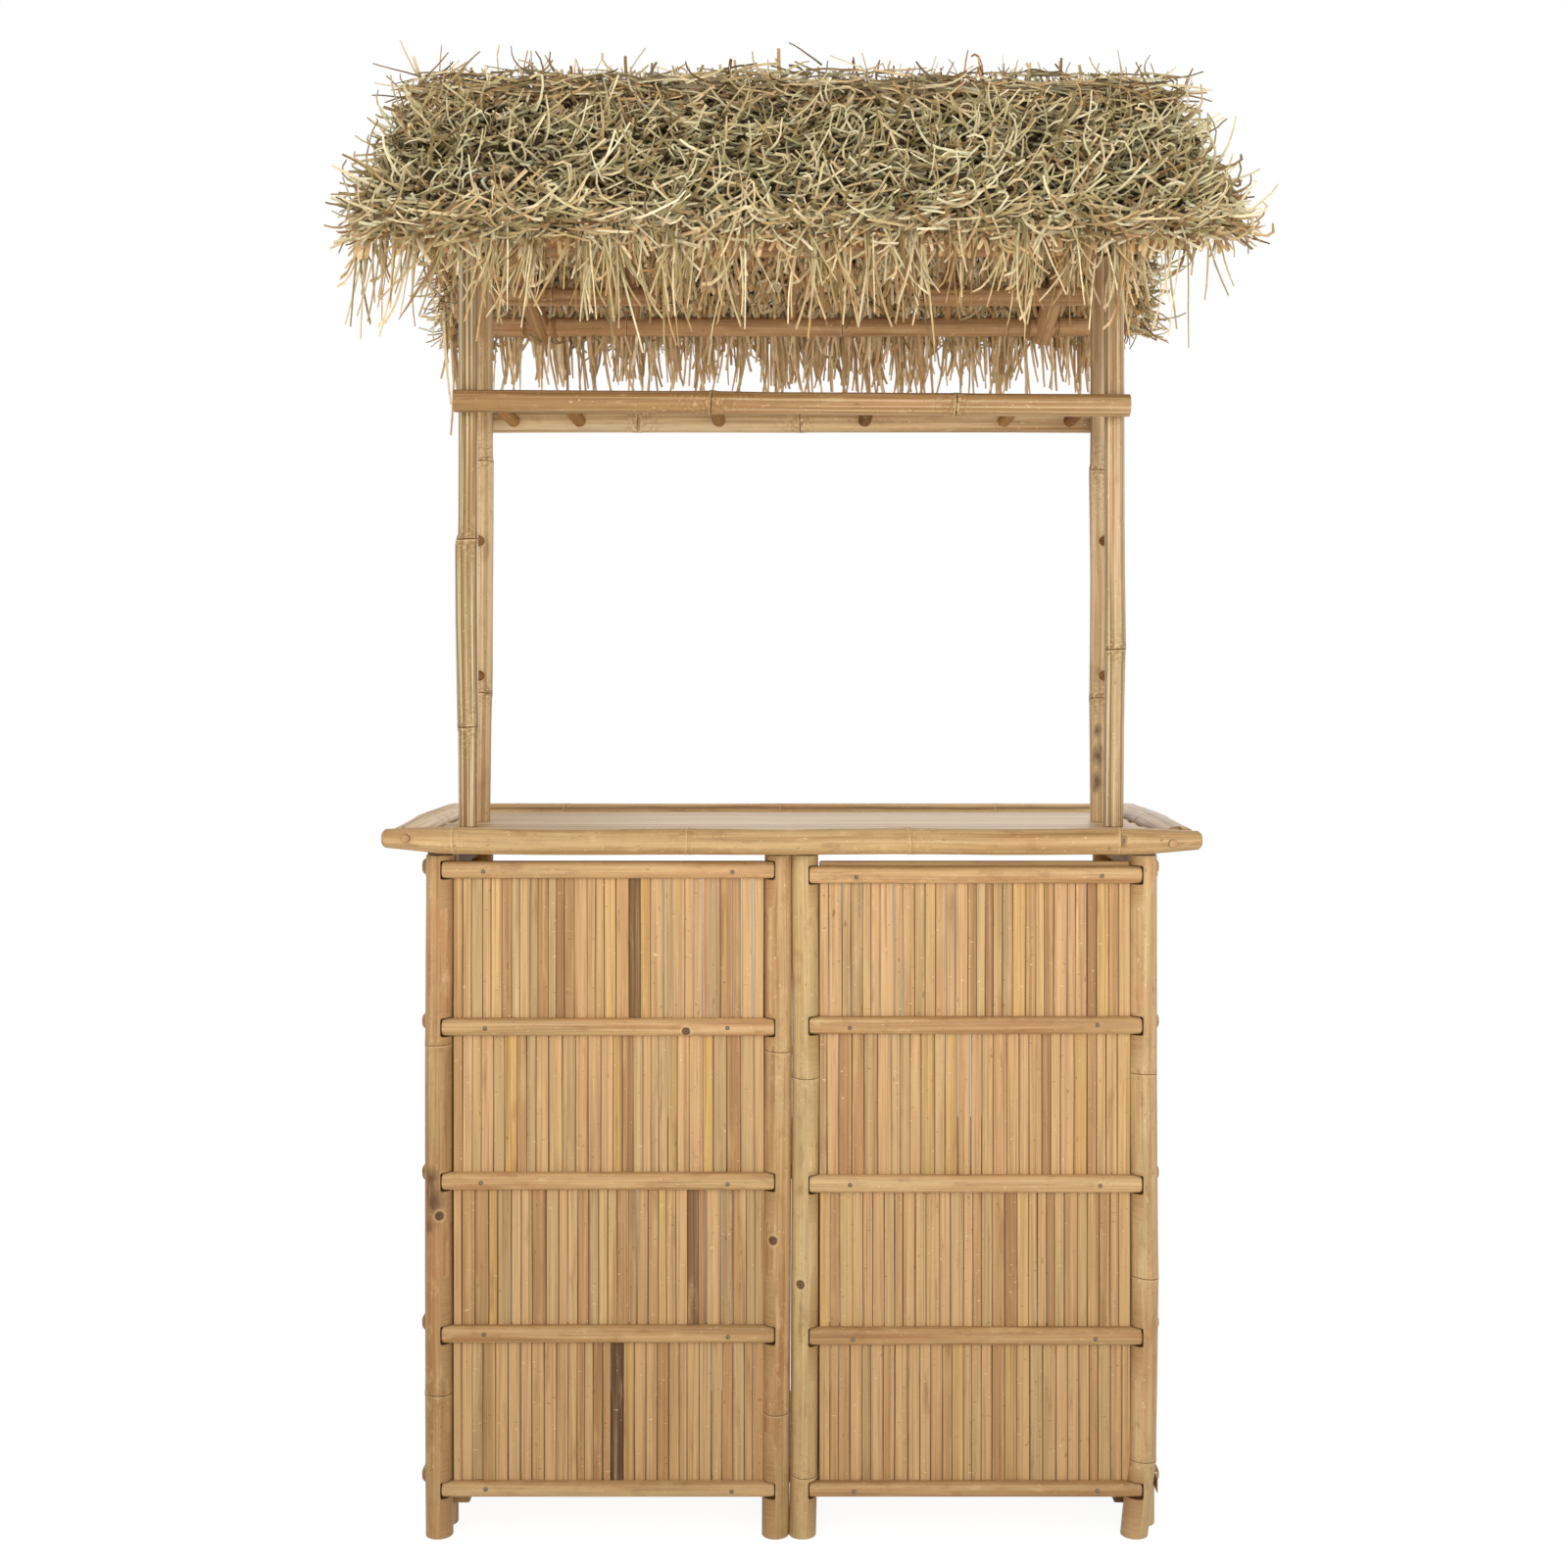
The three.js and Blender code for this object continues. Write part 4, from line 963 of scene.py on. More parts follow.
# %% Filling a field with strips
STRIP_WIDTHS = (11.5 * MM, 21 * MM)
STRIP_SLIT_CHANCE = 0.11
STRIP_LEAN = 0.5 * MM
FIELD_OVERLAP = 2.2 * MM
SHADOW_STRIP_TONE = 0.0


def strip_places(from_x, to_x, low_z, high_z, front_y, thickness, draw):
    """Places and tones for the strips of one field, side by side from one edge to the other."""
    widths = []
    while sum(widths) < to_x - from_x:
        widths.append(draw.uniform(*STRIP_WIDTHS))
    share = (to_x - from_x) / sum(widths)
    turns, tones, at = [], [], from_x
    # Two thin strips behind the field's edges, painted dark as the shade beside the posts.
    for place in (from_x - FIELD_OVERLAP, to_x + FIELD_OVERLAP):
        middle = Vector((place, front_y + 1.2 * thickness, (low_z + high_z) / 2))
        size = Matrix.Diagonal((4 * FIELD_OVERLAP, thickness / 2, high_z - low_z, 1))
        turns.append(Matrix.Translation(middle) @ size)
        tones.append(SHADOW_STRIP_TONE)
    for width in (value * share for value in widths):
        slit = draw.uniform(0.5, 1.1) * MM if draw.random() < STRIP_SLIT_CHANCE else 0.1 * MM
        lean = draw.uniform(-1, 1) * STRIP_LEAN / (high_z - low_z)
        depth = draw.uniform(-0.5, 0.7) * MM
        size = Matrix.Diagonal((width - slit, thickness, high_z - low_z, 1))
        tilt = Matrix(((1, 0, lean, 0), (0, 1, 0, 0), (0, 0, 1, 0), (0, 0, 0, 1)))
        middle = Vector((at + width / 2, front_y + thickness / 2 + depth, (low_z + high_z) / 2))
        turns.append(Matrix.Translation(middle) @ tilt @ size)
        tones.append(draw.random())
        at += width
    return turns, tones


def finish_strips(piece, draw_seed, count):
    """Marks each strip's own grain: its place, moved by a random step so that streaks don't repeat."""
    numbers = np.random.default_rng(draw_seed)
    spots = places(piece)
    size = len(spots) // count
    steps = np.repeat(numbers.uniform(-5, 5, (count, 3)), size, axis=0)
    paint(piece, "grain", spots + steps, "FLOAT_VECTOR")


print("strips are", STRIP_WIDTHS, "m wide")

# %% Fields of a screen and the rails behind them
BATTEN_LEVELS = [batten_measures(f"front_left_batten_{level}")[3].z for level in range(1, 6)]
FIELD_RISE = 3 * MM
FIELD_GAP = 1 * MM
STRIP_THICKNESS = 4.2 * MM
STRIP_SETBACK = 0.3 * MM
RAIL_HEIGHT = 24 * MM
RAIL_DEPTH = 11 * MM
RAIL_SETBACK = 5.4 * MM
RAIL_ROUND = 3.2 * MM


def screen_fields(from_x, to_x, front_y, foot_z, draw_seed):
    """All strips of one screen: a field between each pair of battens."""
    draw = random.Random(draw_seed)
    turns, tones = [], []
    for upper, lower in zip(BATTEN_LEVELS[:-1], BATTEN_LEVELS[1:]):
        high = upper + FIELD_RISE if upper == BATTEN_LEVELS[0] else upper - FIELD_GAP
        low = foot_z if lower == BATTEN_LEVELS[-1] else lower + FIELD_GAP
        more_turns, more_tones = strip_places(from_x, to_x, low, high, front_y, STRIP_THICKNESS, draw)
        turns += more_turns
        tones += more_tones
    return turns, tones


def make_board(low, high, rounding, grain_order, tones, seed, dark):
    """A board from corner to corner with rounded edges; dark is 0 for plain wood, more for painted shade.
    """
    let_go()
    bpy.ops.mesh.primitive_cube_add(size=1)
    board = bpy.context.object
    board.location = (low + high) / 2
    board.scale = high - low
    bpy.ops.object.transform_apply(location=True, rotation=True, scale=True)
    bpy.ops.object.mode_set(mode="EDIT")
    bpy.ops.mesh.select_all(action="SELECT")
    bpy.ops.mesh.bevel(offset=rounding, segments=3)
    bpy.ops.object.mode_set(mode="OBJECT")
    draw = random.Random(seed)
    paint_grain(board, draw, grain_order)
    paint_tone(board, draw.uniform(*tones))
    paint(board, "edge", np.full(len(board.data.vertices), dark))
    return board


def make_rail(from_x, to_x, front_y, depth, z, seed, drop=0.0, dark=0.0):
    """A rail behind the strips, its foot lowered by drop."""
    low = Vector((from_x, front_y, z - RAIL_HEIGHT / 2 - drop))
    high = Vector((to_x, front_y + depth, z + RAIL_HEIGHT / 2))
    return make_board(low, high, RAIL_ROUND, [1, 2, 0], (0.2, 0.8), seed, dark)


def join(pieces):
    let_go()
    for piece in pieces:
        piece.select_set(True)
    bpy.context.view_layer.objects.active = pieces[0]
    bpy.ops.object.join()
    return pieces[0]


print("battens and rails at", [round(z, 3) for z in BATTEN_LEVELS])

# %% Front screens
for number, side in enumerate(("left", "right")):
    node = f"front_{side}_slats"
    low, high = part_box(node)
    turns, tones = screen_fields(low.x, high.x, low.y + STRIP_SETBACK, low.z, SEED + number)
    strips = scatter(strip_template, node + "_strips", turns, {"tone": tones}, ("edge",))
    finish_strips(strips, SEED + number, len(turns))
    rails = [make_rail(low.x, high.x, low.y + RAIL_SETBACK, RAIL_DEPTH, z, SEED * 31 + index + 9 * number)
             for index, z in enumerate(BATTEN_LEVELS)]
    piece = join([strips] + rails)
    smooth(piece, 30)
    fit(piece, node + "_strips", slat_finish, node)
    print(node, len(turns), "strips")

# %% [markdown]
# ## Nails
# Each batten is nailed to the rail behind it near both ends. A nail head is a short ten-sided cylinder
# whose top is inset and raised, so that it catches the light as a small dome. The heads sit a
# little off line, because they were driven in by hand.

# %% Nails of the front battens
NAIL_SIZE = 6.5 * MM
NAIL_LIFT = 0.4 * MM
NAIL_INSET_SHARE = 0.13
nail_finish, tree, shader = new_material("nail_head")
rust = stretched_noise(tree, object_places(tree), (900, 900, 900), 2)
tree.links.new(ramp(tree, rust, [(0.35, srgb(92, 70, 50)), (0.65, srgb(150, 132, 110))]),
               shader.inputs["Base Color"])
shader.inputs["Metallic"].default_value = 0.6
shader.inputs["Roughness"].default_value = 0.55


def add_small(piece, name, material, body):
    """Names a small piece that the frame has no node for, and lets it ride on a body."""
    piece.name = name
    piece.data.materials.append(material)
    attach(piece, body)


def nail_places(node, draw, shift):
    length, height, depth, middle = batten_measures(node)
    middle.z += shift
    for share in (-0.5 + NAIL_INSET_SHARE, 0.5 - NAIL_INSET_SHARE):
        spot = middle + Vector((share * length + draw.uniform(-6, 6) * MM, NAIL_LIFT - depth,
                                draw.uniform(-3, 3) * MM))
        yield Matrix.Translation(spot) @ Matrix.Diagonal((NAIL_SIZE, NAIL_SIZE, NAIL_SIZE, 1))


nail_draw = random.Random(SEED)
nails = [place for side in ("left", "right") for level in range(1, 6)
         for place in nail_places(f"front_{side}_batten_{level}", nail_draw,
                                  BATTEN_SHIFTS.get((side, level), 0))]
front_nails = scatter(nail_template, "front_nails", nails, {})
add_small(front_nails, "front_nails", nail_finish, "base_front")
print("nails:", len(nails))

# %% [markdown]
# ## Side screens
# Each side screen is a smaller copy of a front screen, turned to face sideways, with two ledgers
# inside it that the shelves lie on. It swings on its hinges, so everything on it rides on the side
# screen's body. It is modelled in its own frame, facing -Y, and turned into place at the end, because
# strips and battens are easier to lay out along X. The lower ledger is taller and longer than the
# other, and its end shows behind the foot of the corner post. It and the top rail are painted dark
# as the shade inside the screen.

# %% Parts of a side screen
_, BATTEN_HEIGHT, LOWER_BATTEN_DEPTH, _ = batten_measures("front_left_batten_3")
WING_POST_NODES = {"front": (0.3500, 0.7922), "rear": (0.2163, 0.6688)}
WING_TURNS = {"left": -math.pi / 2, "right": math.pi / 2}
LEDGER_DEPTH = 52 * MM
LEDGER_LEVELS = (2, 4)
FOOT_LEDGER_DROP = 25 * MM
FOOT_LEDGER_REACH = 38 * MM
WING_BATTEN_STEPS = {"left": 8.5 * MM, "right": 4.5 * MM}
WING_BATTEN_REACH = 8 * MM
WING_BATTEN_BED = 2 * MM
WING_FIELD_RISE = 19 * MM
WING_RAIL_GAP = 0.8 * MM
WING_POST_STEPS = {"left": 0.0, "right": 4 * MM}
WING_POST_TURN = 1.3


def wing_screen(side, number):
    """Strips, rails and ledgers of one side screen, made facing -Y and then turned."""
    node = f"{side}_wing_screen"
    low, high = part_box(node)
    turn = WING_TURNS[side]
    origin = Vector(((low.x + high.x) / 2, (low.y + high.y) / 2, 0))
    outer = (high.x - low.x) / 2
    reach = (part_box(f"{side}_wing_rear_post")[0].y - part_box(f"{side}_wing_front_post")[1].y) / 2
    front = LOWER_BATTEN_DEPTH - WING_BATTEN_BED - outer
    turns, tones = screen_fields(-reach, reach, front, low.z + WING_FIELD_RISE, SEED + 10 + number)
    strips = scatter(strip_template, node + "_strips", turns, {"tone": tones}, ("edge",))
    finish_strips(strips, SEED + 10 + number, len(turns))
    pieces = [strips]
    for index, z in enumerate(BATTEN_LEVELS):
        depth = LEDGER_DEPTH if index in LEDGER_LEVELS else RAIL_DEPTH
        lowest = index == LEDGER_LEVELS[-1]
        start = -reach - (FOOT_LEDGER_REACH if lowest and turn > 0 else 0)
        end = reach + (FOOT_LEDGER_REACH if lowest and turn < 0 else 0)
        # The foot ledger and the top rail get painted shade: they are darkened as the shade inside the
        # screen.
        pieces.append(make_rail(start, end, front + STRIP_THICKNESS + WING_RAIL_GAP, depth, z,
                                SEED * 53 + index + 9 * number, FOOT_LEDGER_DROP if lowest else 0.0,
                                1.0 if lowest or index == 0 else 0.0))
    screen = join(pieces)
    move_and_apply(screen, origin, turn)
    smooth(screen, 30)
    return fit(screen, node + "_strips", slat_finish, node), origin


def wing_battens(side, origin, number):
    """The five battens of one side screen, joined into one piece that reaches over the front post."""
    low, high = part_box(f"{side}_wing_screen")
    outer = (high.x - low.x) / 2
    battens = []
    for index, z in enumerate(BATTEN_LEVELS):
        batten = make_batten(high.y - low.y + WING_BATTEN_REACH, BATTEN_HEIGHT, LOWER_BATTEN_DEPTH, 0,
                             60 + index + 7 * number)
        forward = math.copysign(WING_BATTEN_REACH / 2, -WING_TURNS[side])
        move_and_apply(batten, (forward, LOWER_BATTEN_DEPTH - outer - WING_BATTEN_STEPS[side], z))
        battens.append(batten)
    piece = join(battens)
    move_and_apply(piece, origin, WING_TURNS[side])
    smooth(piece)
    add_small(piece, f"{side}_wing_battens", batten_finish, f"{side}_wing")


def wing_cutters(side, origin):
    """The cutters for both posts of one side screen, one for each batten."""
    low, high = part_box(f"{side}_wing_screen")
    outer = (high.x - low.x) / 2
    for z in BATTEN_LEVELS:
        cutter = make_batten(high.y - low.y, BATTEN_HEIGHT, LOWER_BATTEN_DEPTH, BATTEN_CLEARANCE)
        open_front(cutter)
        turned = Matrix.Translation(origin) @ Matrix.Rotation(WING_TURNS[side], 4, "Z")
        cutter.matrix_world = turned @ Matrix.Translation((0, -outer + LOWER_BATTEN_DEPTH, z))
        apply_place(cutter)
        yield cutter


print("side screens have", len(BATTEN_LEVELS), "battens each")

# %% Both side screens
for number, side in enumerate(("left", "right")):
    screen, origin = wing_screen(side, number)
    wing_battens(side, origin, number)
    cutters = list(wing_cutters(side, origin))
    for index, (place, heights) in enumerate(WING_POST_NODES.items()):
        node = f"{side}_wing_{place}_post"
        low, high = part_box(node)
        radius = (high.y - low.y) / 2 - NODE_RISE
        x = math.copysign(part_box("front_right_corner_post")[1].x - NODE_RISE - radius, low.x)
        x += WING_POST_STEPS[side]
        post = make_culm(high.z, radius, heights, 80 + index + 5 * number, bow=0.6 * MM,
                         ends=(POST_HOLLOW, POST_HOLLOW))
        paint_faces(post, "notch", 0.0)
        move_and_apply(post, (x, (low.y + high.y) / 2, 0), WING_POST_TURN * (index + 1))
        for cutter in cutters:
            carve(post, cutter)
        smooth(post)
        fit(post, node + "_culm", culm_finish, node)
    for cutter in cutters:
        bpy.data.objects.remove(cutter)

# %% [markdown]
# ## Hinges
# Small steel butt hinges join each side screen to a corner post. Their leaves, knuckles and pins are
# already right in the frame, so they keep their shape and only get a finish: steel plated in a dull
# brass yellow, with brown tarnish. Each leaf also gets two screws. At this size a slot in the head
# wouldn't show, so the screws reuse the domed nail head.

# %% Hinges
SCREW_SIZE = 4.2 * MM
LEAF_THICKNESS = 1.2 * MM
SCREW_INSET = 7 * MM
hinge_finish, tree, shader = new_material("hinge_steel")
tarnish = stretched_noise(tree, object_places(tree), (260, 260, 260), 4)
tree.links.new(ramp(tree, tarnish, [(0.35, srgb(150, 118, 76)), (0.62, srgb(188, 156, 110))]),
               shader.inputs["Base Color"])
tree.links.new(ramp(tree, tarnish, [(0.35, 0.55), (0.65, 0.32)]), shader.inputs["Roughness"])
shader.inputs["Metallic"].default_value = 0.5
for node, piece in frame["nodes"].items():
    if "hinge" not in node:
        continue
    piece.data.materials.clear()
    piece.data.materials.append(hinge_finish)
    low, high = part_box(node)
    sign = math.copysign(1, low.x)
    plate_x = (low.x if sign > 0 else high.x) + sign * LEAF_THICKNESS
    plate_y = low.y + SCREW_INSET if "post_leaf" in node else high.y - SCREW_INSET
    size = Matrix.Diagonal((SCREW_SIZE, SCREW_SIZE, SCREW_SIZE, 1))
    turn = Matrix.Rotation(sign * math.pi / 2, 4, "Z") @ size
    spots = [Matrix.Translation((plate_x, plate_y, low.z + share * (high.z - low.z))) @ turn
             for share in (0.24, 0.76)]
    screws = scatter(nail_template, node + "_screws", spots, {})
    add_small(screws, node + "_screws", nail_finish, BODY_OF[node])
print("hinge leaves:", sum("hinge" in node for node in frame["nodes"]))

# %% [markdown]
# ## Shelves and counter deck
# Shelves and counter are floors of split strips laid side by side on cross bearers. The counter's
# strips are planed smooth, so its top looks like one long-grained board with fine seams. Scattered
# strips with a rounded edge keep those seams as real grooves, which a bump map alone would not show
# along the front edge, and painted shade darkens them. The counter's bearers are painted dark as the
# shade under the counter: an edge value above 1 says so.

# %% Deck finish
def deck_material(name):
    material, tree, shader = new_material(name)
    grain = attribute(tree, "grain", "Vector")
    tone = attribute(tree, "tone")
    streaks = stretched_noise(tree, grain, (2.2, 190, 190), 5, 0.6)
    fibres = stretched_noise(tree, grain, (7, 700, 700), 4)
    clouds = stretched_noise(tree, grain, (3.5, 26, 26), 3)
    level = times(tree, times(tree, streaks, 0.7), times(tree, tone, 0.35), "ADD")
    colour = ramp(tree, level, [(0.25, srgb(170, 131, 83)), (0.48, srgb(194, 158, 107)),
                                (0.75, srgb(212, 181, 129))])
    colour = tint(tree, colour, clouds, [(0.5, 0.0), (0.7, 0.4)], srgb(178, 152, 108))
    colour = shade_by(tree, 0.65, colour, fibres, [(0.3, 0.76), (0.7, 1.1)])
    knots = stretched_noise(tree, grain, (34, 120, 120), 2)
    colour = tint(tree, colour, knots, [(0.2, 0.75), (0.27, 0.0)], srgb(122, 84, 48))
    scuffs = stretched_noise(tree, grain, (60, 190, 190), 2)
    colour = tint(tree, colour, scuffs, [(0.7, 0.0), (0.76, 0.5)], srgb(238, 216, 172))
    # Painted shade: the strips' long edges darken the seams, and a value above 1 darkens the bearers as
    # the shade under the counter.
    edge = attribute(tree, "edge")
    colour = tint(tree, colour, edge, [(0.5, 0.0), (1.0, 0.7)], srgb(110, 78, 46))
    deeper_shade = times(tree, edge, 1.0, "SUBTRACT")
    colour = tint(tree, colour, deeper_shade, [(0.2, 0.0), (0.9, 0.9)], srgb(74, 50, 31))
    plug_in(tree, shader, colour, ramp(tree, streaks, [(0.3, 0.6), (0.7, 0.45)]), streaks, 0.18, 0.5 * MM)
    return material


deck_finish = deck_material("bamboo_deck")
print("deck finish ready")

# %% [markdown]
# ## Floors of strips and their bearers
# The strip of the screens serves again, laid flat along X. Random widths are scaled to fill the depth,
# and each strip gets a little drop and a tone of its own. Ragged ends are drawn in by a random length.

# %% Floors of strips
BEARER_ROUND = 3 * MM


def floor_of_strips(name, low, high, top_z, thickness, widths, draw_seed, gap=0.3 * MM, drop=0.4 * MM,
                    ragged=(0.0, 0.0)):
    """Strips along X, side by side along Y, their crowned faces up and their ends a little uneven."""
    draw = random.Random(draw_seed)
    sizes = []
    while sum(sizes) < high.y - low.y:
        sizes.append(draw.uniform(*widths))
    share = (high.y - low.y) / sum(sizes)
    turns, tones, at = [], [], low.y
    lay = Matrix(((0, 0, 1, 0), (1, 0, 0, 0), (0, -1, 0, 0), (0, 0, 0, 1)))
    for size in (value * share for value in sizes):
        start, end = low.x + draw.uniform(*ragged), high.x - draw.uniform(*ragged)
        level = top_z - thickness / 2 - draw.uniform(0, 1) * drop
        middle = Vector(((start + end) / 2, at + size / 2, level))
        scale = Matrix.Diagonal((size - gap, thickness, end - start, 1))
        turns.append(Matrix.Translation(middle) @ lay @ scale)
        tones.append(draw.random())
        at += size
    piece = scatter(strip_template, name, turns, {"tone": tones}, ("edge",))
    finish_strips(piece, draw_seed, len(turns))
    return piece


def make_bearer(x, width, low_y, high_y, low_z, high_z, seed, dark=0.0):
    """A bearer that runs from front to back under a floor."""
    low = Vector((x - width / 2, low_y, low_z))
    high = Vector((x + width / 2, high_y, high_z))
    return make_board(low, high, BEARER_ROUND, [1, 0, 2], (0.1, 0.6), seed, dark)


print("floors and bearers are ready to lay")

# %% [markdown]
# ## Shelves
# Two shelves lie on the side screens' ledgers, inside the base. Their front edges reach in between the
# front posts, so a cylinder a little wider than the post is taken out of the floor at each of the four.

# %% Shelves
SHELF_THICKNESS = 8 * MM
SHELF_WIDTHS = (15 * MM, 24 * MM)
SHELF_BEARER_WIDTH = 26 * MM
SHELF_BEARER_SHARES = (-0.8, 0, 0.8)
SHELF_POST_CLEARANCE = 1.5 * MM

for number, node in enumerate(("upper_shelf", "lower_shelf")):
    low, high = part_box(node)
    board = floor_of_strips(node, low, high, high.z, SHELF_THICKNESS - 0.5 * MM, SHELF_WIDTHS,
                            SEED + 40 + number)
    post_low, post_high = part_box("front_left_corner_post")
    radius = (post_high.x - post_low.x) / 2 + SHELF_POST_CLEARANCE
    for post in ("left_corner", "left_middle", "right_middle", "right_corner"):
        post_low, post_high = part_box(f"front_{post}_post")
        middle_x = (post_low.x + post_high.x) / 2
        middle_y = post_high.y - radius + SHELF_POST_CLEARANCE
        let_go()
        bpy.ops.mesh.primitive_cylinder_add(vertices=32, radius=radius, depth=100 * MM,
                                            location=(middle_x, middle_y, high.z))
        cutter = bpy.context.object
        carve(board, cutter)
        bpy.data.objects.remove(cutter)
    bearers = [make_bearer(share * high.x, SHELF_BEARER_WIDTH, post_high.y + SHELF_POST_CLEARANCE, high.y,
                           low.z, high.z - SHELF_THICKNESS, SEED + 50 + index)
               for index, share in enumerate(SHELF_BEARER_SHARES)]
    piece = join([board] + bearers)
    smooth(piece, 30)
    fit(piece, node + "_boards", deck_finish, node)
print("shelves at", [round(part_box(node)[1].z, 3) for node in ("upper_shelf", "lower_shelf")])

# %% [markdown]
# ## The counter deck
# The counter's strips are wider than the shelves' and lie tight. Their ends stop at uneven lengths
# short of the side rims, as they do on the real bar.

# %% Counter deck
DECK_THICKNESS = 8 * MM
DECK_WIDTHS = (30 * MM, 48 * MM)
# How much painted shade the counter's bearers get: above 1 darkens them as the shade under the counter.
BEARER_SHADE = 2.0
DECK_BEARER_WIDTH = 30 * MM
DECK_REAR_GAP = 3 * MM
DECK_RAGGED_ENDS = (4 * MM, 13 * MM)

low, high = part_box("counter_deck")
deck_end = Vector((high.x, high.y - DECK_REAR_GAP, high.z))
deck = floor_of_strips("counter_deck", low, deck_end, high.z, DECK_THICKNESS, DECK_WIDTHS, SEED + 60,
                       gap=0.15 * MM, drop=0.15 * MM, ragged=DECK_RAGGED_ENDS)
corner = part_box("front_right_corner_post")
corner_x = (corner[0].x + corner[1].x) / 2
bearer_top = high.z - DECK_THICKNESS - 0.2 * MM
bearers = [make_bearer(share * corner_x, DECK_BEARER_WIDTH, low.y, high.y, low.z, bearer_top,
                       SEED + 70 + share, BEARER_SHADE) for share in (-1, 0, 1)]
piece = join([deck] + bearers)
smooth(piece, 30)
fit(piece, "counter_deck_boards", deck_finish, "counter_deck")
print("counter top at", round(high.z, 4))

# %% [markdown]
# ## Counter rims
# Four culms frame the counter. The front one is thick and bellied. Its ends are carved round, mostly
# from below, and each is fixed with a dowel. The side rims are flattened to an oval, slope down to
# meet the front rim, and run back to a thinner rear rim. All have rounded tips, so the same culm maker
# serves, with the tips domed by three insets instead of hollowed.

# %% Sizes and finishes of the rims
RIM_ROUND = 5.5 * MM
RIM_TAPER_REACH = 100 * MM
RIM_TIP_SHARE = 0.72
RIM_TIP_REACH = 0.94
SIDE_RIM_HALF_HEIGHT = 15.5 * MM
SIDE_RIM_ROUND = 2.5 * MM
SIDE_RIM_SLOPE_REACH = 260 * MM
SIDE_RIM_SLOPE_DROP = 9 * MM
SIDE_RIM_LINE_X = 579 * MM
REAR_RIM_LINE_Z = 1062.5 * MM
FRONT_RIM_KINKS = (
    (0.0, -0.003, 1.0), (0.1, -0.0015, 1.02), (0.27, 0.0008, 0.98), (0.44, -0.001, 1.02),
    (0.6, 0.0006, 0.99), (0.764, -0.0012, 1.02), (0.92, 0.0006, 0.99), (1.07, -0.001, 1.02),
    (1.2, 0.001, 1.0),
)
rim_finish = bamboo_material(
    "bamboo_rim", srgb(212, 177, 126), srgb(194, 156, 104), srgb(156, 114, 66), green=0.3, rings=0.15,
    stains=[((0.487, -0.177, 1.044), 0.011), ((0.466, -0.177, 1.030), 0.006),
            ((-0.606, -0.163, 1.040), 0.010), ((0.606, -0.163, 1.038), 0.009)])
side_rim_finish = bamboo_material(
    "bamboo_side_rim", srgb(232, 202, 156), srgb(220, 186, 138), srgb(186, 146, 98), green=0.2,
    scars=[((-0.5675, -0.10, 1.067), 0.0045), ((-0.5635, 0.03, 1.072), 0.005)],
    line=("X", SIDE_RIM_LINE_X))
rear_rim_finish = bamboo_material(
    "bamboo_rear_rim", srgb(236, 204, 156), srgb(222, 188, 138), srgb(190, 150, 100), green=0.2, rings=0.4,
    line=("Z", REAR_RIM_LINE_Z))
right_rim_finish = bamboo_material(
    "bamboo_right_rim", srgb(210, 180, 136), srgb(186, 152, 106), srgb(142, 106, 64), green=0.45,
    stripes=0.3, rings=0.4, line=("X", SIDE_RIM_LINE_X))
RIMS = {
    "counter_front_rim": ((0.085, 0.369, 0.6395, 0.8966), rim_finish, RIM_ROUND),
    "counter_rear_rim": ((0.17, 0.48, 0.79), rear_rim_finish, RIM_ROUND),
    "counter_left_rim": ((0.45,), side_rim_finish, SIDE_RIM_ROUND),
    "counter_right_rim": ((0.45,), right_rim_finish, SIDE_RIM_ROUND),
}
SIDE_RIMS = ("counter_left_rim", "counter_right_rim")
print("rims:", len(RIMS))

# %% Counter rims
def draw_in_ends(culm, length, radius, reach, share):
    """Narrows the last stretch of a standing culm at both ends, most of it from its +X side."""
    spots = places(culm).copy()
    near_end = np.minimum(spots[:, 2], length - spots[:, 2])
    close = np.clip(1 - near_end / reach, 0, 1.2)
    size = 1 - (1 - share) * close ** 2
    spots[:, :2] *= size[:, None]
    spots[:, 0] -= 0.4 * radius * (1 - size)
    put_places(culm, spots)


def lower_front(culm):
    """Lets the first stretch of a side rim slope down and draw in to meet the front rim."""
    spots = places(culm).copy()
    close = np.clip(1 - spots[:, 2] / SIDE_RIM_SLOPE_REACH, 0, 1) ** 1.3
    spots[:, 1] += SIDE_RIM_SLOPE_DROP * close
    spots[:, 0] *= 1 - 0.15 * close
    put_places(culm, spots)


for index, (node, (shares, finish, round_ends)) in enumerate(RIMS.items()):
    start, end, radius = pole_line(node)
    length = (end - start).length
    tip = round_ends * RIM_TIP_REACH
    across = 1.0
    if node in SIDE_RIMS:
        across = radius / SIDE_RIM_HALF_HEIGHT
        radius = SIDE_RIM_HALF_HEIGHT
    kinks = FRONT_RIM_KINKS if node == "counter_front_rim" else ()
    culm = make_culm(length - 2 * tip, radius, [share * length for share in shares], 100 + index,
                     bow=0.8 * MM, round_ends=round_ends, kinks=kinks)
    if node not in SIDE_RIMS:
        draw_in_ends(culm, length - 2 * tip, radius, RIM_TAPER_REACH, RIM_TIP_SHARE)
    culm.data.transform(Matrix.Diagonal((across, 1, 1, 1)))
    if node in SIDE_RIMS:
        lower_front(culm)
    way = (end - start).normalized()
    place_along(culm, start + way * tip, end)
    smooth(culm)
    fit(culm, node + "_culm", finish, node)
print("rims in place")

# %% [markdown]
# ## Dowels
# A round wooden dowel shows in the face of the front rim near each end. It is a short cylinder laid
# on its side, with its front inset and raised. The ring value that darkens a culm's nodes also
# draws the dark joint around it.

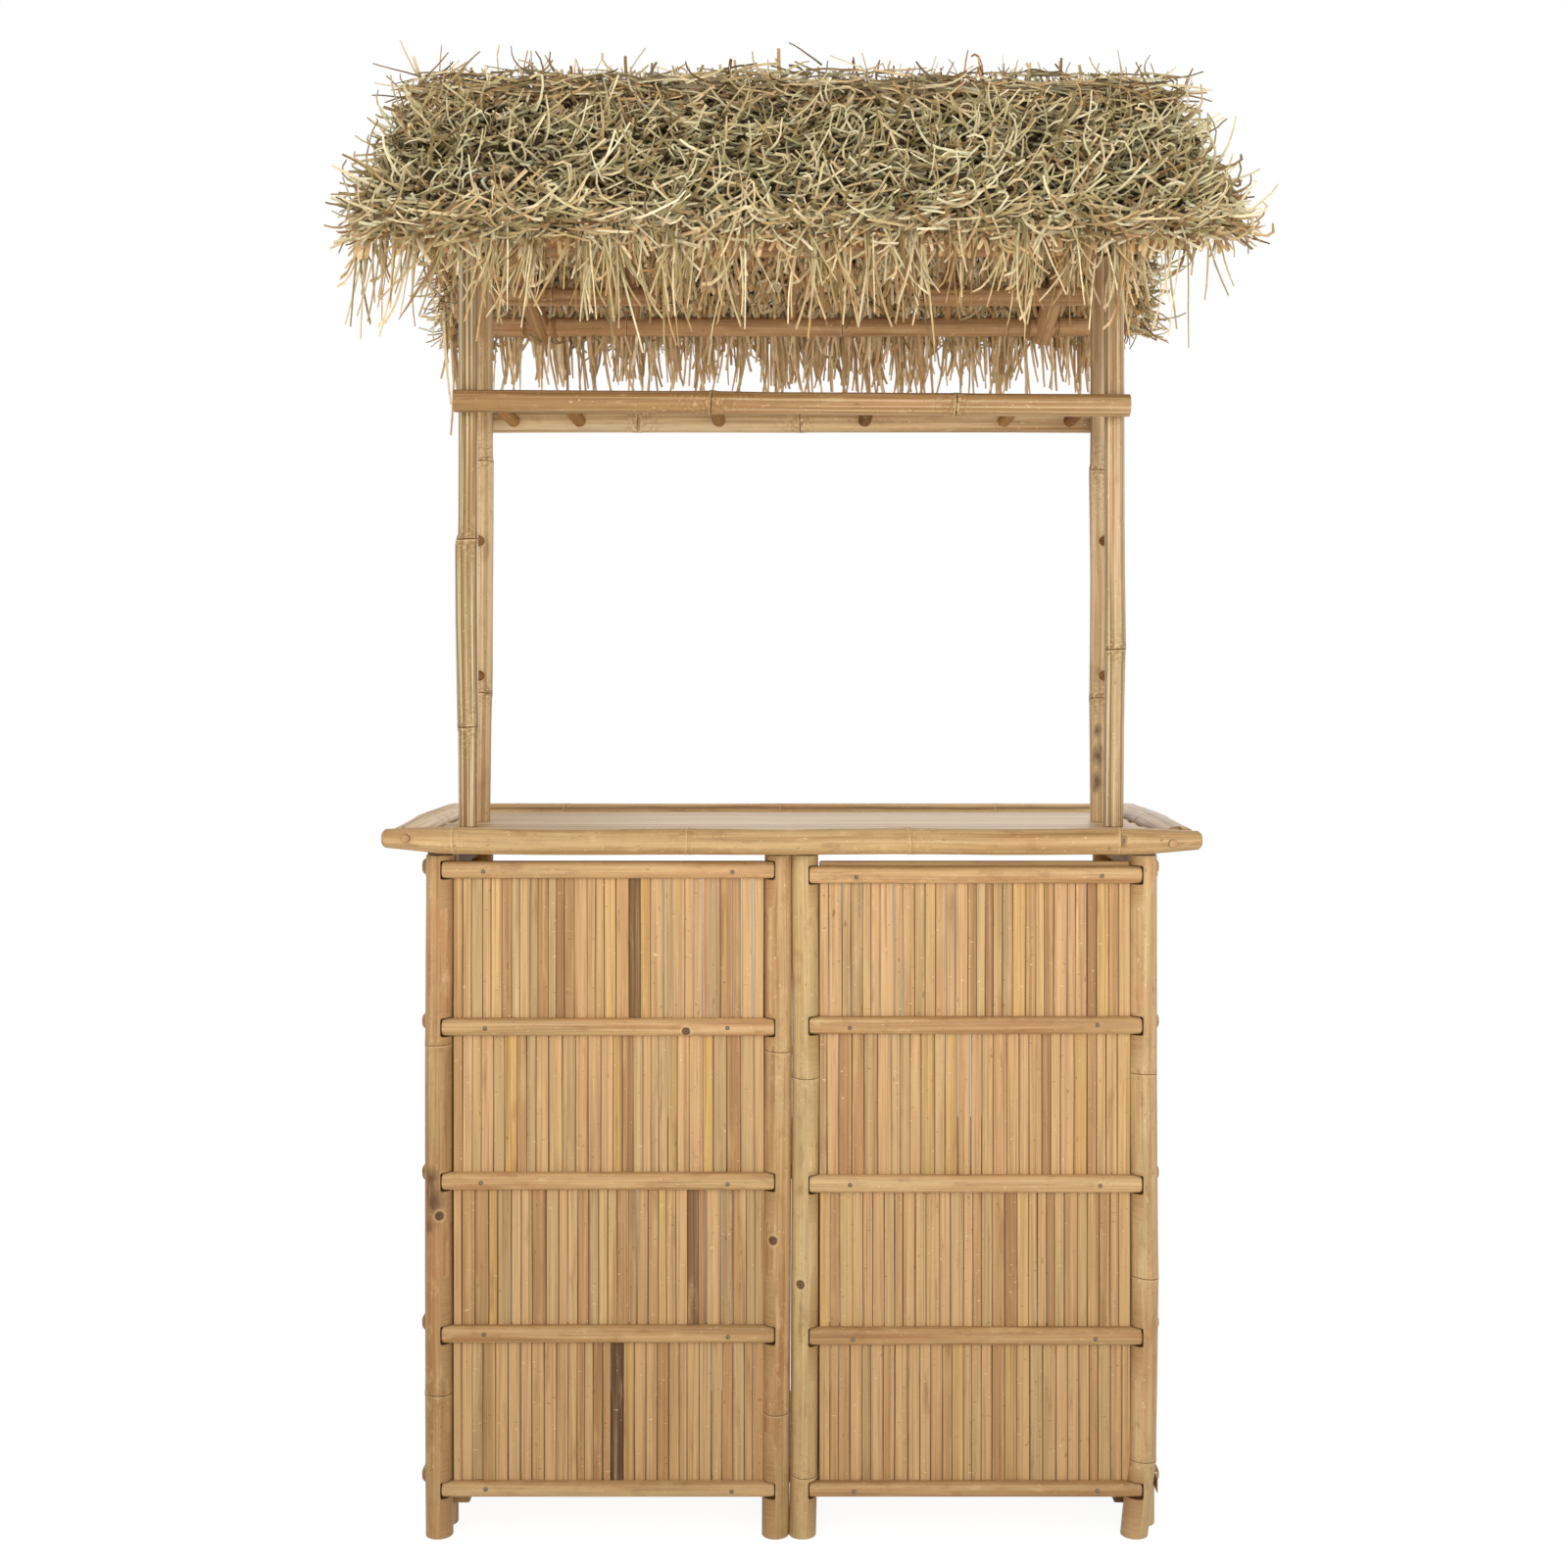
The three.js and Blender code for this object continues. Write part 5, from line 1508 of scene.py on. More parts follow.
# %% Dowels in the front rim
DOWEL_SIZE = 12.5 * MM
DOWEL_LENGTH = 14 * MM
DOWEL_DEPTH = 6.8 * MM
DOWEL_PLACES = ((-0.5675, 1.047), (0.560, 1.040))
low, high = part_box("counter_front_rim")
dowels = []
for x, z in DOWEL_PLACES:
    let_go()
    bpy.ops.mesh.primitive_cylinder_add(vertices=20, radius=DOWEL_SIZE / 2, depth=DOWEL_LENGTH,
                                        location=(x, low.y + DOWEL_DEPTH, z),
                                        rotation=(math.pi / 2, 0, 0))
    dowel = bpy.context.object
    bpy.ops.object.transform_apply(location=True, rotation=True, scale=True)
    bpy.ops.object.mode_set(mode="EDIT")
    pick_faces(dowel, lambda middle, normal: normal.y < -0.9)
    bpy.ops.mesh.inset(thickness=0.8 * MM)
    bpy.ops.transform.translate(value=(0, -0.5 * MM, 0))
    bpy.ops.object.mode_set(mode="OBJECT")
    dowels.append(dowel)
piece = join(dowels)
spots = places(piece)
away = np.min([np.hypot(spots[:, 0] - x, spots[:, 2] - z) for x, z in DOWEL_PLACES], axis=0)
paint(piece, "ring", np.where(away > DOWEL_SIZE / 2 - 0.2 * MM, 0.8, 0.0))
paint(piece, "grain", spots, "FLOAT_VECTOR")
paint_tone(piece, 0.15)
smooth(piece)
add_small(piece, "front_rim_dowels", culm_finish, "bar_top")
print("dowels:", len(dowels))

# %% [markdown]
# ## Upper frame
# Four uprights stand on the counter in pairs, a grooved greenish one in front and a paler one behind,
# with short round rungs between them. They carry two beams with six cross rungs, the rack for glasses.
# The uprights change width at each node, so their kinks do most of the shaping, and flutes groove the
# front ones lengthwise.

# %% Finishes of the upper frame
striped_finish = bamboo_material(
    "bamboo_upright_striped", srgb(210, 180, 138), srgb(192, 160, 115), srgb(146, 116, 72), green=0.5,
    stripes=0.9, collars=1.0)
rear_upright_finish = bamboo_material(
    "bamboo_upright_rear", srgb(224, 190, 142), srgb(208, 172, 124), srgb(166, 126, 80), green=0.2,
    stripes=0.4, collars=1.0)
# Its ground colours are lighter than the other rear upright's: painted light, to lift it out of the front
# upright's shade.
lightened_stained_upright_finish = bamboo_material(
    "bamboo_upright_stained_lightened", srgb(250, 224, 180), srgb(242, 210, 164), srgb(196, 156, 108), green=0.15,
    stripes=0.4, collars=1.0,
    stains=[((0.485, 0.041, 1.202), 0.013), ((0.487, 0.041, 1.162), 0.018),
            ((0.482, 0.041, 1.120), 0.018)])
rung_finish = bamboo_material(
    "bamboo_rung", srgb(180, 134, 78), srgb(156, 110, 58), srgb(120, 80, 38), green=0.1,
    gloss=0.7, shine=0.05)
beam_finish = bamboo_material(
    "bamboo_beam", srgb(180, 138, 86), srgb(160, 118, 70), srgb(116, 78, 40), green=0.15,
    stripes=0.35, collars=1.0)
print("five finishes for uprights, rungs and beams")

# %% Uprights
UPRIGHT_GROW = 1.04
UPRIGHT_LOOKS = {
    "left_front_upright": {
        "nodes_at": (0.149, 0.4335), "material": striped_finish, "flutes": 0.03,
        "kinks": ((0.0, 0.0, 0.9), (0.145, 0.0, 0.93), (0.16, -0.0002, 1.0), (0.3, -0.0025, 1.05),
                  (0.43, -0.003, 1.07), (0.45, -0.0005, 0.92), (0.6, 0.0, 0.9), (1.1, 0.0, 0.92))},
    "left_rear_upright": {
        "nodes_at": (0.2014, 0.5642), "material": rear_upright_finish, "flutes": 0.0,
        "kinks": ((0.0, -0.004, 1.0), (0.19, -0.0012, 1.0), (0.22, 0.0, 1.02), (0.4, 0.0008, 1.03),
                  (0.56, 0.0012, 1.05), (0.58, 0.0012, 0.98), (1.1, 0.0, 1.0))},
    "right_front_upright": {
        "nodes_at": (0.2676, 0.82), "material": striped_finish, "flutes": 0.03,
        "kinks": ((0.0, -0.0025, 0.92), (0.14, -0.0015, 0.92), (0.26, 0.0, 0.96), (0.28, 0.0002, 1.0),
                  (0.42, -0.0008, 0.95), (1.1, -0.0018, 0.93))},
    "right_rear_upright": {
        "nodes_at": (0.1936, 0.5518), "material": lightened_stained_upright_finish, "flutes": 0.0,
        "kinks": ((0.0, -0.0015, 1.0), (0.19, -0.0025, 1.02), (0.38, -0.001, 1.0), (0.55, -0.0025, 1.05),
                  (0.57, -0.002, 0.98), (1.1, 0.0, 1.0))},
}
for index, (node, look) in enumerate(UPRIGHT_LOOKS.items()):
    culm_for(node, seed=120 + index, grow=UPRIGHT_GROW, bow=0.4 * MM, swell=2.2, **look)
print("uprights:", len(UPRIGHT_LOOKS))

# %% Rungs and beams
FRONT_BEAM_KINKS = (
    (0.0, -0.005, 1.0), (0.375, -0.003, 0.99), (0.39, -0.003, 1.05), (0.41, -0.002, 0.98),
    (0.76, 0.0005, 1.0), (1.03, 0.002, 1.0),
)
SIDE_RUNGS = ("left_upper_rung", "left_lower_rung", "right_upper_rung", "right_lower_rung")

for index, node in enumerate(SIDE_RUNGS):
    culm_for(node, (), rung_finish, 130 + index, ringed=False, sides=20)
culm_for("front_beam", (0.381, 0.742), beam_finish, 140, bow=0.6 * MM, swell=2.0, kinks=FRONT_BEAM_KINKS)
culm_for("rear_beam", (0.257, 0.512), rear_upright_finish, 141, bow=0.8 * MM, swell=1.5)
for index in range(1, 7):
    culm_for(f"rack_rung_{index}", (0.4,) if index % 2 else (), rung_finish, 150 + index,
             ringed=False, sides=20)
print("rungs and beams in place")

# %% [markdown]
# ## Roof frame
# Under the thatch each slope has an eave pole, a thin purlin, three thin rafters and two thick gable
# rafters that lean inwards, all hung on one ridge pole. They are culms again, laid along lines on the
# slope. A place on a slope is given by its side, its distance down from the ridge and its height over
# the rafters' tops, so every pole and later every straw can be placed with the same three numbers.

# %% Places on a roof slope
ROOF_RUN = 300 * MM
ROOF_RISE = 262 * MM
SLOPE = math.atan2(ROOF_RISE, ROOF_RUN)
GABLE_RAFTER_RADIUS = 18 * MM
ridge_start, _, RIDGE_RADIUS = pole_line("ridge_pole")
PLANE_TOP_Z = ridge_start.z + GABLE_RAFTER_RADIUS / math.cos(SLOPE)


def on_slope(sign, x, along, lift):
    """Places on a slope, from numbers or from arrays: sign is -1 for the front slope, 1 for the rear."""
    across = along * math.cos(SLOPE) + lift * math.sin(SLOPE)
    up = PLANE_TOP_Z - along * math.sin(SLOPE) + lift * math.cos(SLOPE)
    return np.stack([x, sign * across, up], axis=-1)


print("slope", round(math.degrees(SLOPE), 1), "degrees from", round(PLANE_TOP_Z, 3), "m")

# %% [markdown]
# ## Roof poles and lashings
# The poles of each slope are one piece, because they lift off together. Rattan lashings hold the gable
# rafters on the eave pole. Each is four thin rings side by side, tilted to and fro, which reads as
# a wound strand and is simpler than a spiral.

# %% Poles and lashings on a slope
EAVE = {"length": 1100 * MM, "along": 419 * MM, "radius": 16 * MM}
PURLIN = {"length": 1060 * MM, "along": 272 * MM, "radius": 7.5 * MM}
THIN_RAFTER_RADIUS = 7.5 * MM
THIN_RAFTER_SHARES = (-0.528, 0.0, 0.528)
GABLE_TOP_X = 510 * MM
GABLE_FOOT_X = 432 * MM
RAFTER_FOOT_ALONG = 442 * MM
LASHING_TURNS = 4
LASHING_STRAND = 2.2 * MM
LASHING_OFFSET = 7 * MM


def slope_pole(sign, start, end, radius, nodes_at, seed, **look):
    """A culm on a slope: start and end are (x, distance down the slope)."""
    first, last = (Vector(on_slope(sign, *spot, -radius)) for spot in (start, end))
    length = (last - first).length
    culm = make_culm(length, radius, [share * length for share in nodes_at], seed, sides=22, **look)
    place_along(culm, first, last)
    return culm


def lashing(place, radius):
    """Rattan wound round a pole that lies along X: rings side by side."""
    rings = []
    for turn in range(LASHING_TURNS):
        let_go()
        bpy.ops.mesh.primitive_torus_add(major_segments=28, minor_segments=8,
                                         major_radius=radius + 0.55 * LASHING_STRAND,
                                         minor_radius=LASHING_STRAND / 2)
        ring = bpy.context.object
        tilt = Matrix.Rotation(math.radians(5 if turn % 2 else -4), 4, "X")
        facing = Z_AXIS.rotation_difference(X_AXIS).to_matrix().to_4x4()
        middle = place + X_AXIS * (turn - LASHING_TURNS / 2) * LASHING_STRAND
        ring.matrix_world = Matrix.Translation(middle) @ facing @ tilt
        apply_place(ring)
        rings.append(ring)
    piece = join(rings)
    paint(piece, "grain", places(piece), "FLOAT_VECTOR")
    paint_tone(piece, 0.25)
    return piece


print("eave pole", EAVE["length"], "m long, purlin", PURLIN["length"], "m")

# %% Roof poles
for sign, node in ((-1, "front_roof_frame"), (1, "rear_roof_frame")):
    top = GABLE_RAFTER_RADIUS * math.tan(SLOPE) + RIDGE_RADIUS
    seed = 200 + 20 * sign
    poles = [
        slope_pole(sign, (-EAVE["length"] / 2, EAVE["along"]), (EAVE["length"] / 2, EAVE["along"]),
                   EAVE["radius"], (0.24, 0.58, 0.84), seed, bow=0.001),
        slope_pole(sign, (-PURLIN["length"] / 2, PURLIN["along"]), (PURLIN["length"] / 2, PURLIN["along"]),
                   PURLIN["radius"], (0.3, 0.7), seed + 1),
    ]
    for index, share in enumerate(THIN_RAFTER_SHARES):
        x = share * GABLE_TOP_X
        poles.append(slope_pole(sign, (x, top), (x, RAFTER_FOOT_ALONG), THIN_RAFTER_RADIUS, (0.45,),
                                seed + 2 + index))
    for side in (-1, 1):
        poles.append(slope_pole(sign, (side * GABLE_TOP_X, top), (side * GABLE_FOOT_X, RAFTER_FOOT_ALONG),
                                GABLE_RAFTER_RADIUS, (0.3, 0.72), seed + 6 + side))
        share = EAVE["along"] / RAFTER_FOOT_ALONG
        x = side * (GABLE_TOP_X + (GABLE_FOOT_X - GABLE_TOP_X) * share)
        for shift in (-1, 1):
            beside = x + shift * (GABLE_RAFTER_RADIUS + LASHING_OFFSET)
            spot = Vector(on_slope(sign, beside, EAVE["along"], -EAVE["radius"]))
            poles.append(lashing(spot, EAVE["radius"] + 0.5 * MM))
    piece = join(poles)
    smooth(piece)
    fit(piece, node + "_poles", culm_warm_finish, node)
culm_for("ridge_pole", (0.22, 0.53, 0.81), culm_warm_finish, 240, bow=0.001)
culm_for("rear_left_short_pole", (0.35,), culm_warm_finish, 241, ringed=False)
culm_for("rear_right_short_pole", (0.6,), culm_warm_finish, 242, ringed=False)
print("roof poles and lashings placed")

# %% [markdown]
# ## Thatch finish
# The thatch is dried sea grass: greyish green on the slopes and the ridge, straw-coloured in the
# fringes, with painted shade where it lies deep. Every straw carries three numbers that its maker wrote
# on it: a random shade, how dry it is, and how deep it lies. The finish mixes its colour from those. On
# the slopes the painted shade comes from the place itself: a straw that dips into the tangle darkens as
# it goes. Each straw is also darker towards its root, as painted shade inside the tangle.

# %% Thatch finish
THATCH_HALF = 608 * MM
THATCH_DEPTH = 40 * MM


def thatch_material(name, by_height, tip_dry):
    """Straw colours; by_height takes the painted shade from how far a place lies below the thatch's top.
    """
    material, tree, shader = new_material(name)
    shade = attribute(tree, "shade")
    along = attribute(tree, "along")
    dry = times(tree, attribute(tree, "dry"), times(tree, along, tip_dry), "ADD")
    dry = ramp(tree, dry, [(0.0, 0.0), (1.0, 1.0)])
    green = ramp(tree, shade, [(0.0, srgb(118, 104, 64)), (0.25, srgb(174, 164, 114)),
                               (0.6, srgb(212, 204, 156)), (1.0, srgb(240, 234, 196))])
    straw = ramp(tree, shade, [(0.0, srgb(132, 92, 52)), (0.35, srgb(194, 154, 102)),
                               (0.7, srgb(224, 192, 142)), (1.0, srgb(246, 224, 182))])
    colour = blend_colours(tree, dry, green, straw)
    place = object_places(tree)
    if by_height:
        parts = add_node(tree, "ShaderNodeSeparateXYZ", {0: place})
        away = times(tree, absolute(tree, parts.outputs["Y"]), math.tan(SLOPE))
        lift = times(tree, times(tree, parts.outputs["Z"], away, "ADD"), PLANE_TOP_Z, "SUBTRACT")
        level = times(tree, lift, math.cos(SLOPE) / THATCH_DEPTH)
        sunk = ramp(tree, level, [(0.06, 0.25), (0.2, 1.0), (0.6, 0.95), (0.76, 0.45), (0.95, 0.0)])
        aside = absolute(tree, parts.outputs["X"])
        within = ramp(tree, aside, [(THATCH_HALF - 35 * MM, 1.0), (THATCH_HALF, 0.25)])
        above = ramp(tree, away, [(0.26, 1.0), (0.295, 0.2)])
        depth_shade = times(tree, sunk, times(tree, within, above))
    else:
        depth_shade = ramp(tree, attribute(tree, "deep"), [(0.0, 0.92), (0.35, 0.7), (0.62, 0.08), (0.75, 0.0)])
    # Painted shade where a straw lies deep in the tangle.
    colour = blend_colours(tree, depth_shade, colour, srgb(68, 49, 23))
    # Painted shade towards each straw's root, inside the tangle.
    colour = shade_by(tree, 1.0, colour, along, [(0.0, 0.8), (0.35, 1.0), (1.0, 1.05)])
    blotches = stretched_noise(tree, place, (90, 90, 90), 2)
    colour = shade_by(tree, 1.0, colour, blotches, [(0.3, 0.8), (0.7, 1.1)])
    tree.links.new(colour, shader.inputs["Base Color"])
    shader.inputs["Roughness"].default_value = 0.62
    shader.inputs["Specular IOR Level"].default_value = 0.25
    return material


thatch_finish = thatch_material("sea_grass_slope", True, 0.25)
edge_finish = thatch_material("sea_grass_edges", False, 0.5)
print("thatch finishes ready")

# %% [markdown]
# ## Straws
# A straw is a long thin three-sided blade that curls as it dries. It is modelled by hand a few times:
# a small triangle is extruded again and again, turned a little and narrowed at each step. Hair
# particles would be quicker, but they are not a mesh, and the pieces have to be closed meshes. A few
# straws with different curls, copied thousands of times at random sizes, make the tangle.

# %% Straw shapes
STRAW_WIDTH = 6.0 * MM
STRAW_LENGTH = 85 * MM
STRAW_THICKNESS_SHARE = 0.72


def make_straw(bends, sways, narrow=0.91):
    """One straw standing on the origin: bends and sways are turns in degrees, one for each step."""
    let_go()
    bpy.ops.mesh.primitive_circle_add(vertices=3, radius=STRAW_WIDTH / 2, fill_type="NGON")
    straw = bpy.context.object
    straw.scale = (1, STRAW_THICKNESS_SHARE, 1)
    bpy.ops.object.transform_apply(location=True, rotation=True, scale=True)
    bpy.ops.object.mode_set(mode="EDIT")
    bpy.ops.mesh.select_all(action="SELECT")
    for bend, sway in zip(bends, sways):
        mesh = bmesh.from_edit_mesh(straw.data)
        cap = next(face for face in mesh.faces if face.select)
        way = cap.normal * (STRAW_LENGTH / len(bends))
        bpy.ops.mesh.extrude_region_move(TRANSFORM_OT_translate={"value": way})
        mesh = bmesh.from_edit_mesh(straw.data)
        middle = next(face for face in mesh.faces if face.select).calc_center_median()
        bpy.ops.transform.rotate(value=math.radians(bend), orient_axis="X", center_override=middle)
        bpy.ops.transform.rotate(value=math.radians(sway), orient_axis="Y", center_override=middle)
        bpy.ops.transform.resize(value=(narrow,) * 3, center_override=middle)
    bpy.ops.mesh.select_all(action="SELECT")
    bpy.ops.mesh.normals_make_consistent(inside=False)
    bpy.ops.object.mode_set(mode="OBJECT")
    steps = np.arange(len(straw.data.vertices)) // 3
    paint(straw, "along", steps / max(1, steps.max()))
    return straw


def straw_family(draw, turns, wobble, wave=0.0):
    """Straws that curl sideways by about these turns a step, and wobble a little out of their plane."""
    family = []
    for turn in turns:
        sways = [turn * draw.uniform(0.4, 1.6) + wave * math.sin(1.7 * step) for step in range(6)]
        family.append(make_straw([draw.uniform(-wobble, wobble) for step in range(6)], sways))
    return family


straw_draw = random.Random(SEED)
straws = {
    "curled": straw_family(straw_draw, (20, -28, 36, -42, 12, -18, 50, -9), 13, 10),
    "hanging": straw_family(straw_draw, (3, -5, 8, -11, 1, 14), 5, 4),
    "straight": straw_family(straw_draw, (1, -2, 3, -3, 0, 2), 2, 1.5),
    "short": [make_straw([turn, turn, turn], [4, -6, 3]) for turn in (5, -7, 9)],
}
print({kind: len(shapes) for kind, shapes in straws.items()}, "straw shapes")

# %% [markdown]
# ## Laying straws
# Thousands of straws are placed with arrays, because a loop would be slow: a row for each straw holds
# its root, the way it grows and the side it shows. A straw that would make the bar too large is left
# out, so a few long ones can't change the size of the roof.

# %% Laying straws
SPARE_SHARE = 0.03
SPARE = 8 * MM
frame_size = np.array(cad_box[1]) - np.array(cad_box[0])
LIMIT_LOW = np.array(cad_box[0]) - SPARE_SHARE * frame_size - SPARE
LIMIT_HIGH = np.array(cad_box[1]) + SPARE_SHARE * frame_size + SPARE


def unit(vectors):
    return vectors / np.linalg.norm(vectors, axis=1, keepdims=True)


def straw_turns(roots, ways, faces, rolls, lengths, widths):
    """4 by 4 places: each straw grows along its way from its root, its flat side towards its face."""
    grow = unit(ways)
    out = unit(faces - grow * (faces * grow).sum(1, keepdims=True))
    side = np.cross(out, grow)
    flat = out * np.cos(rolls)[:, None] + side * np.sin(rolls)[:, None]
    side = np.cross(flat, grow)
    turns = np.zeros((len(roots), 4, 4))
    turns[:, :3, 0] = side * widths[:, None]
    turns[:, :3, 1] = flat * widths[:, None]
    turns[:, :3, 2] = grow * lengths[:, None]
    turns[:, :3, 3] = roots
    turns[:, 3, 3] = 1
    return turns


def keep_inside(template, turns):
    """True for the copies whose every vertex stays inside the size the bar may have."""
    spots = copy_places(places(template), turns)
    return ((spots >= LIMIT_LOW) & (spots <= LIMIT_HIGH)).all(axis=(1, 2))


def lay_straws(kind, turns, marks, draws):
    """Deals the places out to the straw shapes of one kind, and gives back the meshes."""
    shapes = straws[kind]
    chosen = draws.integers(0, len(shapes), len(turns))
    pieces = []
    for index, shape in enumerate(shapes):
        mine = chosen == index
        mine[mine] = keep_inside(shape, turns[mine])
        values = {mark: value[mine] for mark, value in marks.items()}
        pieces.append(scatter(shape, f"straws_{index}", turns[mine], values, ("along",)))
    return pieces


def slope_ways(sign, headings, pitches):
    """Headings turn from straight down the slope towards +X, pitches rise from the slope."""
    down = np.array([0, sign * math.cos(SLOPE), -math.sin(SLOPE)])
    normal = np.array([0, sign * math.sin(SLOPE), math.cos(SLOPE)])
    flat = np.cos(headings)[:, None] * down + np.sin(headings)[:, None] * np.array([1.0, 0, 0])
    return flat * np.cos(pitches)[:, None] + normal * np.sin(pitches)[:, None]


def lying_turns(sign, roots, headings, pitches, rolls, lengths, widths, face=math.pi / 2):
    """Places of straws that lie along the slope, with their flat side turned up from it by face."""
    ways = slope_ways(sign, headings, pitches)
    faces = slope_ways(sign, headings, pitches + face)
    return straw_turns(roots, ways, faces, rolls, lengths, widths)


print("straws stay between", LIMIT_LOW.round(3), "and", LIMIT_HIGH.round(3))

# %% [markdown]
# ## Thatch
# Each roof slope is built up as the real one is: a net of knotted straws below, a thick tangle on it
# that lies mostly sideways and curls, tufts along the ridge, straws that poke out of the gable ends,
# and a fringe that hangs from the eave. The tangle could be one displaced sheet, but only real
# straws give the torn outline. Each layer below says where its straws root and how they lie.

# %% The bed and the tangle
THATCH_ALONG = 452 * MM
SLOPE_COUNT = 5200
UNDER_COUNT = 4600


def across_roof(shares, alongs):
    """X from a share of -1 to 1: the thatch widens down the slope, and more so to the right."""
    down = alongs / THATCH_ALONG
    return shares * THATCH_HALF * (0.955 + 0.045 * down) + (15 * down - 4) * MM


def under_straws(sign, draws):
    """A bed of short straws under the tangle, which closes its gaps; lying low, they take the finish's
    painted shade.
    """
    count = UNDER_COUNT
    alongs = draws.uniform(0.0, THATCH_ALONG, count)
    xs = across_roof(draws.uniform(-0.97, 0.97, count), alongs)
    headings = draws.uniform(-math.pi, math.pi, count)
    pitches = np.abs(np.radians(draws.normal(0, 7, count)))
    turns = lying_turns(sign, on_slope(sign, xs, alongs, draws.uniform(2.5, 12, count) * MM),
                        headings, pitches, draws.normal(0, 0.5, count),
                        draws.uniform(0.5, 0.95, count), draws.uniform(0.9, 1.4, count))
    marks = {"shade": draws.random(count), "deep": draws.uniform(0, 0.4, count),
             "dry": np.clip(draws.normal(0.4, 0.3, count), 0, 1)}
    return turns, marks


def slope_straws(sign, draws):
    """The tangle on the slope itself: greenish, lying mostly sideways, outwards near the gables."""
    count = SLOPE_COUNT
    alongs = draws.uniform(0.0, THATCH_ALONG, count)
    xs = across_roof(draws.uniform(-1, 1, count), alongs)
    layer = draws.random(count)
    outwards = np.where(draws.random(count) < 0.5 + 0.42 * xs / THATCH_HALF, 1.0, -1.0)
    sideways = outwards * np.radians(draws.normal(74, 30, count))
    headings = np.where(draws.random(count) < 0.66, sideways, draws.normal(0, math.radians(55), count))
    near_top = np.clip(1.6 - alongs / (0.12 * THATCH_ALONG), 0.0, 1.0)
    pitches = np.radians(draws.normal(3, 9, count)) * (1 - near_top)
    eave = draws.random(count) < 2.2 * (alongs / THATCH_ALONG - 0.72)
    headings[eave] = draws.normal(0, math.radians(38), eave.sum())
    lengths = draws.uniform(0.4, 0.95, count) * (1 - 0.3 * near_top)
    turns = lying_turns(sign, on_slope(sign, xs, alongs, 8 * MM + 25 * MM * layer),
                        headings, pitches, draws.normal(0, 0.6, count) * (1 - 0.7 * near_top), lengths,
                        draws.uniform(0.75, 1.5, count))
    low_edge = np.clip((alongs / THATCH_ALONG - 0.86) * 4, 0, 1)
    top_edge = np.clip(1.0 - alongs / 0.1, 0, 1)
    marks = {"shade": draws.random(count), "deep": layer,
             "dry": np.clip(0.5 * low_edge + 0.9 * top_edge + draws.normal(0.12, 0.24, count), 0, 1)}
    return turns, marks


print("straws in each bed and tangle:", UNDER_COUNT, SLOPE_COUNT)

# %% Ridge and gable ends
RIDGE_COUNT = 950
RIDGE_FROM, RIDGE_TO = -6 * MM, 58 * MM
STRAY_SHARE = 0.012
END_COUNT = 330
DOWN = np.array([0, 0, -1.0])


def mound(xs):
    """How much higher the ridge straws are piled up in the middle."""
    return (7 + 14 * np.exp(-((xs - 0.03) / 0.13) ** 2)) * MM


def ridge_straws(sign, draws):
    """Greenish straws that lie along the ridge, with painted shade where they are deep; a few stand up
    from it.
    """
    count = RIDGE_COUNT
    alongs = draws.uniform(RIDGE_FROM, RIDGE_TO, count)
    xs = across_roof(draws.uniform(-0.985, 0.985, count), alongs)
    headings = np.where(draws.random(count) < 0.5, 1.0, -1.0) * np.radians(draws.normal(85, 18, count))
    pitches = np.abs(np.radians(draws.normal(0, 6, count)))
    lengths = draws.uniform(0.45, 1.0, count)
    stray = draws.random(count) < STRAY_SHARE
    pitches[stray] = np.radians(draws.uniform(20, 70, stray.sum()))
    lifts = 14 * MM + draws.random(count) * (30 * MM + mound(xs))
    turns = lying_turns(sign, on_slope(sign, xs, alongs, lifts), headings, pitches,
                        draws.uniform(-0.7, 0.7, count), lengths, draws.uniform(0.7, 1.1, count))
    marks = {"shade": draws.random(count), "deep": draws.uniform(0.1, 1.0, count),
             "dry": draws.uniform(0.0, 0.6, count)}
    return turns, marks


def end_straws(sign, draws):
    """Straws that point out of the gable ends and droop, longer towards the eave."""
    count = 2 * END_COUNT
    sides = np.where(np.arange(count) < END_COUNT, -1.0, 1.0)
    alongs = draws.uniform(0.0, THATCH_ALONG, count)
    xs = across_roof(sides, alongs) - sides * draws.uniform(0, 60, count) * MM
    headings = sides * np.radians(draws.normal(66, 22, count))
    pitches = np.radians(draws.normal(-3, 12, count))
    droop = draws.uniform(0.0, 0.6, count)
    ways = slope_ways(sign, headings, pitches) + DOWN * droop[:, None]
    lengths = draws.uniform(0.45, 1.0, count) * (0.35 + 0.65 * alongs / THATCH_ALONG)
    lengths *= np.where(sides > 0, 0.65, 0.9)
    turns = straw_turns(on_slope(sign, xs, alongs, draws.uniform(3, 26, count) * MM), ways,
                        np.tile([0.0, 0.0, 1.0], (count, 1)), draws.uniform(-1, 1, count),
                        lengths, draws.uniform(0.7, 1.1, count))
    marks = {"shade": draws.random(count), "deep": draws.uniform(0.35, 1, count),
             "dry": draws.uniform(0.25, 0.9, count)}
    return turns, marks


print("straws on each ridge and at each end:", RIDGE_COUNT, END_COUNT)

# %% Laying the slopes
def thatch_piece(name, node, kind, straws_laid, finish, draws):
    """Lays one layer of straws with the shapes of one kind, as one piece."""
    piece = join(lay_straws(kind, *straws_laid, draws))
    smooth(piece, 70)
    fit(piece, name, finish, node)
    print(name, sum(len(face.vertices) - 2 for face in piece.data.polygons), "triangles")
    return piece


